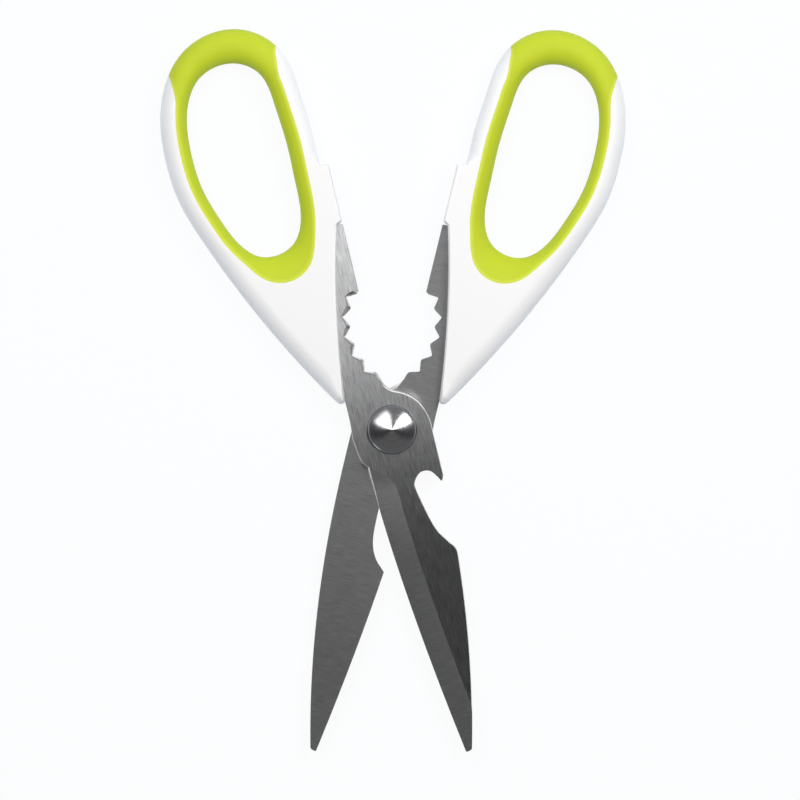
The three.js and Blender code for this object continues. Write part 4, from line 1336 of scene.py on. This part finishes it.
def studio_world(surround):
    """Bright near the horizon and dark overhead, as in a studio with a white cove; white to the camera."""
    behind_handles = (0.1, 0.95, 0)  # the brighter side
    dim_share = 0.4  # what the other side gets of its brightness
    wall_light = 0.22  # pale walls high up behind and in front
    # Glow at heights from the horizon to straight overhead
    stops = (
        (0.0, (0.98, 1.05, 1.13)), (0.16, (0.72, 0.76, 0.81)),
        (0.45, (0.35, 0.36, 0.37)), (0.8, (0.11, 0.11, 0.11)))
    world = bpy.data.worlds.new("studio")
    world.use_nodes = True
    tree = world.node_tree
    tree.nodes.clear()
    direction = add(tree, "ShaderNodeTexCoord").outputs["Generated"]
    parts = add(tree, "ShaderNodeSeparateXYZ", inputs={0: direction})
    facing = add(tree, "ShaderNodeVectorMath", {"operation": "DOT_PRODUCT"}, {
        0: direction, 1: behind_handles})
    north = add(tree, "ShaderNodeMapRange", inputs={
        "Value": facing.outputs["Value"], "From Min": -0.5, "From Max": 0.3,
        "To Min": dim_share * surround, "To Max": surround})
    ramp = add(tree, "ShaderNodeValToRGB", inputs={"Fac": parts.outputs["Z"]})
    ramp.color_ramp.interpolation = "EASE"
    elements = ramp.color_ramp.elements
    while len(elements) < len(stops):
        elements.new(0.5)
    for element, (position, glow) in zip(elements, stops):
        element.position = position
        element.color = (*glow, 1)
    path = add(tree, "ShaderNodeLightPath")
    side = add(tree, "ShaderNodeMath", {"operation": "ABSOLUTE"}, {0: parts.outputs["Y"]})
    beside = add(tree, "ShaderNodeMapRange", {"interpolation_type": "SMOOTHSTEP"}, {
        "Value": side.outputs["Value"], "From Min": 0.2, "From Max": 0.45, "To Max": wall_light})
    above = add(tree, "ShaderNodeMapRange", {"interpolation_type": "SMOOTHSTEP"}, {
        "Value": parts.outputs["Z"], "From Min": 0.3, "From Max": 0.6})
    wall = add(tree, "ShaderNodeMath", {"operation": "MULTIPLY"}, {
        0: beside.outputs["Result"], 1: above.outputs["Result"]})
    cove = add(tree, "ShaderNodeBackground", inputs={
        "Color": ramp.outputs["Color"], "Strength": north.outputs["Result"]})
    walls = add(tree, "ShaderNodeBackground", inputs={
        "Color": (1, 1, 1, 1), "Strength": wall.outputs["Value"]})
    studio = add(tree, "ShaderNodeAddShader", inputs={
        0: cove.outputs["Background"], 1: walls.outputs["Background"]})
    white = add(tree, "ShaderNodeBackground", inputs={"Color": (1, 1, 1, 1), "Strength": 1.0})
    mix = add(tree, "ShaderNodeMixShader", inputs={
        0: path.outputs["Is Camera Ray"], 1: studio.outputs["Shader"], 2: white.outputs["Background"]})
    add(tree, "ShaderNodeOutputWorld", inputs={"Surface": mix.outputs["Shader"]})
    return world


class SCISSORS_OT_stage(Operator):
    """Make the floor, the lamps and the camera"""
    bl_idname = "scissors.stage"
    bl_label = "Stage"

    def execute(self, context):
        scene = context.scene
        stage = scene.scissors_stage
        reach = 3.0
        level = cad_box[0].z - 0.02 * MM
        corners = [(x * reach, y * reach, level) for x, y in ((-1, -1), (1, -1), (1, 1), (-1, 1))]
        floor = show("floor", mesh_from("floor", corners, [(0, 1, 2, 3)]))
        floor.data.materials.append(pale_floor(scene.scissors_finish))
        softbox(
            "left_softbox", azimuth=-41, elevation=62, distance=0.5, width=0.3, height=0.203,
            radiance=stage.left_light)
        softbox(
            "right_softbox", azimuth=53, elevation=57, distance=0.48, width=0.18, height=0.213,
            radiance=stage.right_light)
        softbox(
            "side_softbox", azimuth=-138, elevation=18, distance=0.6, width=0.22, height=0.1,
            radiance=stage.side_light, tint=(0.75, 0.9, 1))
        scene.world = studio_world(stage.surround)
        camera = bpy.data.objects.new("camera", bpy.data.cameras.new("camera"))
        distance = stage.camera_height - PIVOT.z
        camera.data.lens = camera.data.sensor_width * distance / stage.view_width
        camera.data.clip_end = 10
        camera.location = (stage.view_x, stage.view_y, stage.camera_height)
        scene.collection.objects.link(camera)
        scene.camera = camera
        scene.view_settings.view_transform = "Standard"
        return {"FINISHED"}


class SCISSORS_PT_panel(Panel):
    """Lists what the scissors are made of"""
    bl_idname = "SCISSORS_PT_panel"
    bl_label = "Kitchen scissors"
    bl_space_type = "VIEW_3D"
    bl_region_type = "UI"
    bl_category = "Scissors"

    def draw(self, context):
        for operator in OPERATORS:
            self.layout.operator(operator.bl_idname)
        for name, group in GROUPS.items():
            settings = getattr(context.scene, name)
            box = self.layout.box()
            box.label(text=group.__doc__)
            for key in group.__annotations__:
                box.prop(settings, key)


GROUPS = {
    "scissors_opening": ScissorsOpening,
    "scissors_handle": ScissorsHandle,
    "scissors_blade": ScissorsBlade,
    "scissors_pivot": ScissorsPivot,
    "scissors_finish": ScissorsFinish,
    "scissors_stage": ScissorsStage,
}
OPERATORS = (
    SCISSORS_OT_stage, SCISSORS_OT_handles, SCISSORS_OT_liners, SCISSORS_OT_blades, SCISSORS_OT_pivot)


def register():
    for kind in (*GROUPS.values(), *OPERATORS, SCISSORS_PT_panel):
        bpy.utils.register_class(kind)
    for name, group in GROUPS.items():
        setattr(bpy.types.Scene, name, PointerProperty(type=group))


def unregister():
    for name in GROUPS:
        delattr(bpy.types.Scene, name)
    for kind in (SCISSORS_PT_panel, *OPERATORS, *GROUPS.values()):
        bpy.utils.unregister_class(kind)


def main():
    register()
    bpy.ops.scissors.stage()
    bpy.ops.scissors.handles()
    bpy.ops.scissors.liners()
    bpy.ops.scissors.blades()
    bpy.ops.scissors.pivot()


if __name__ == "__main__":
    main()
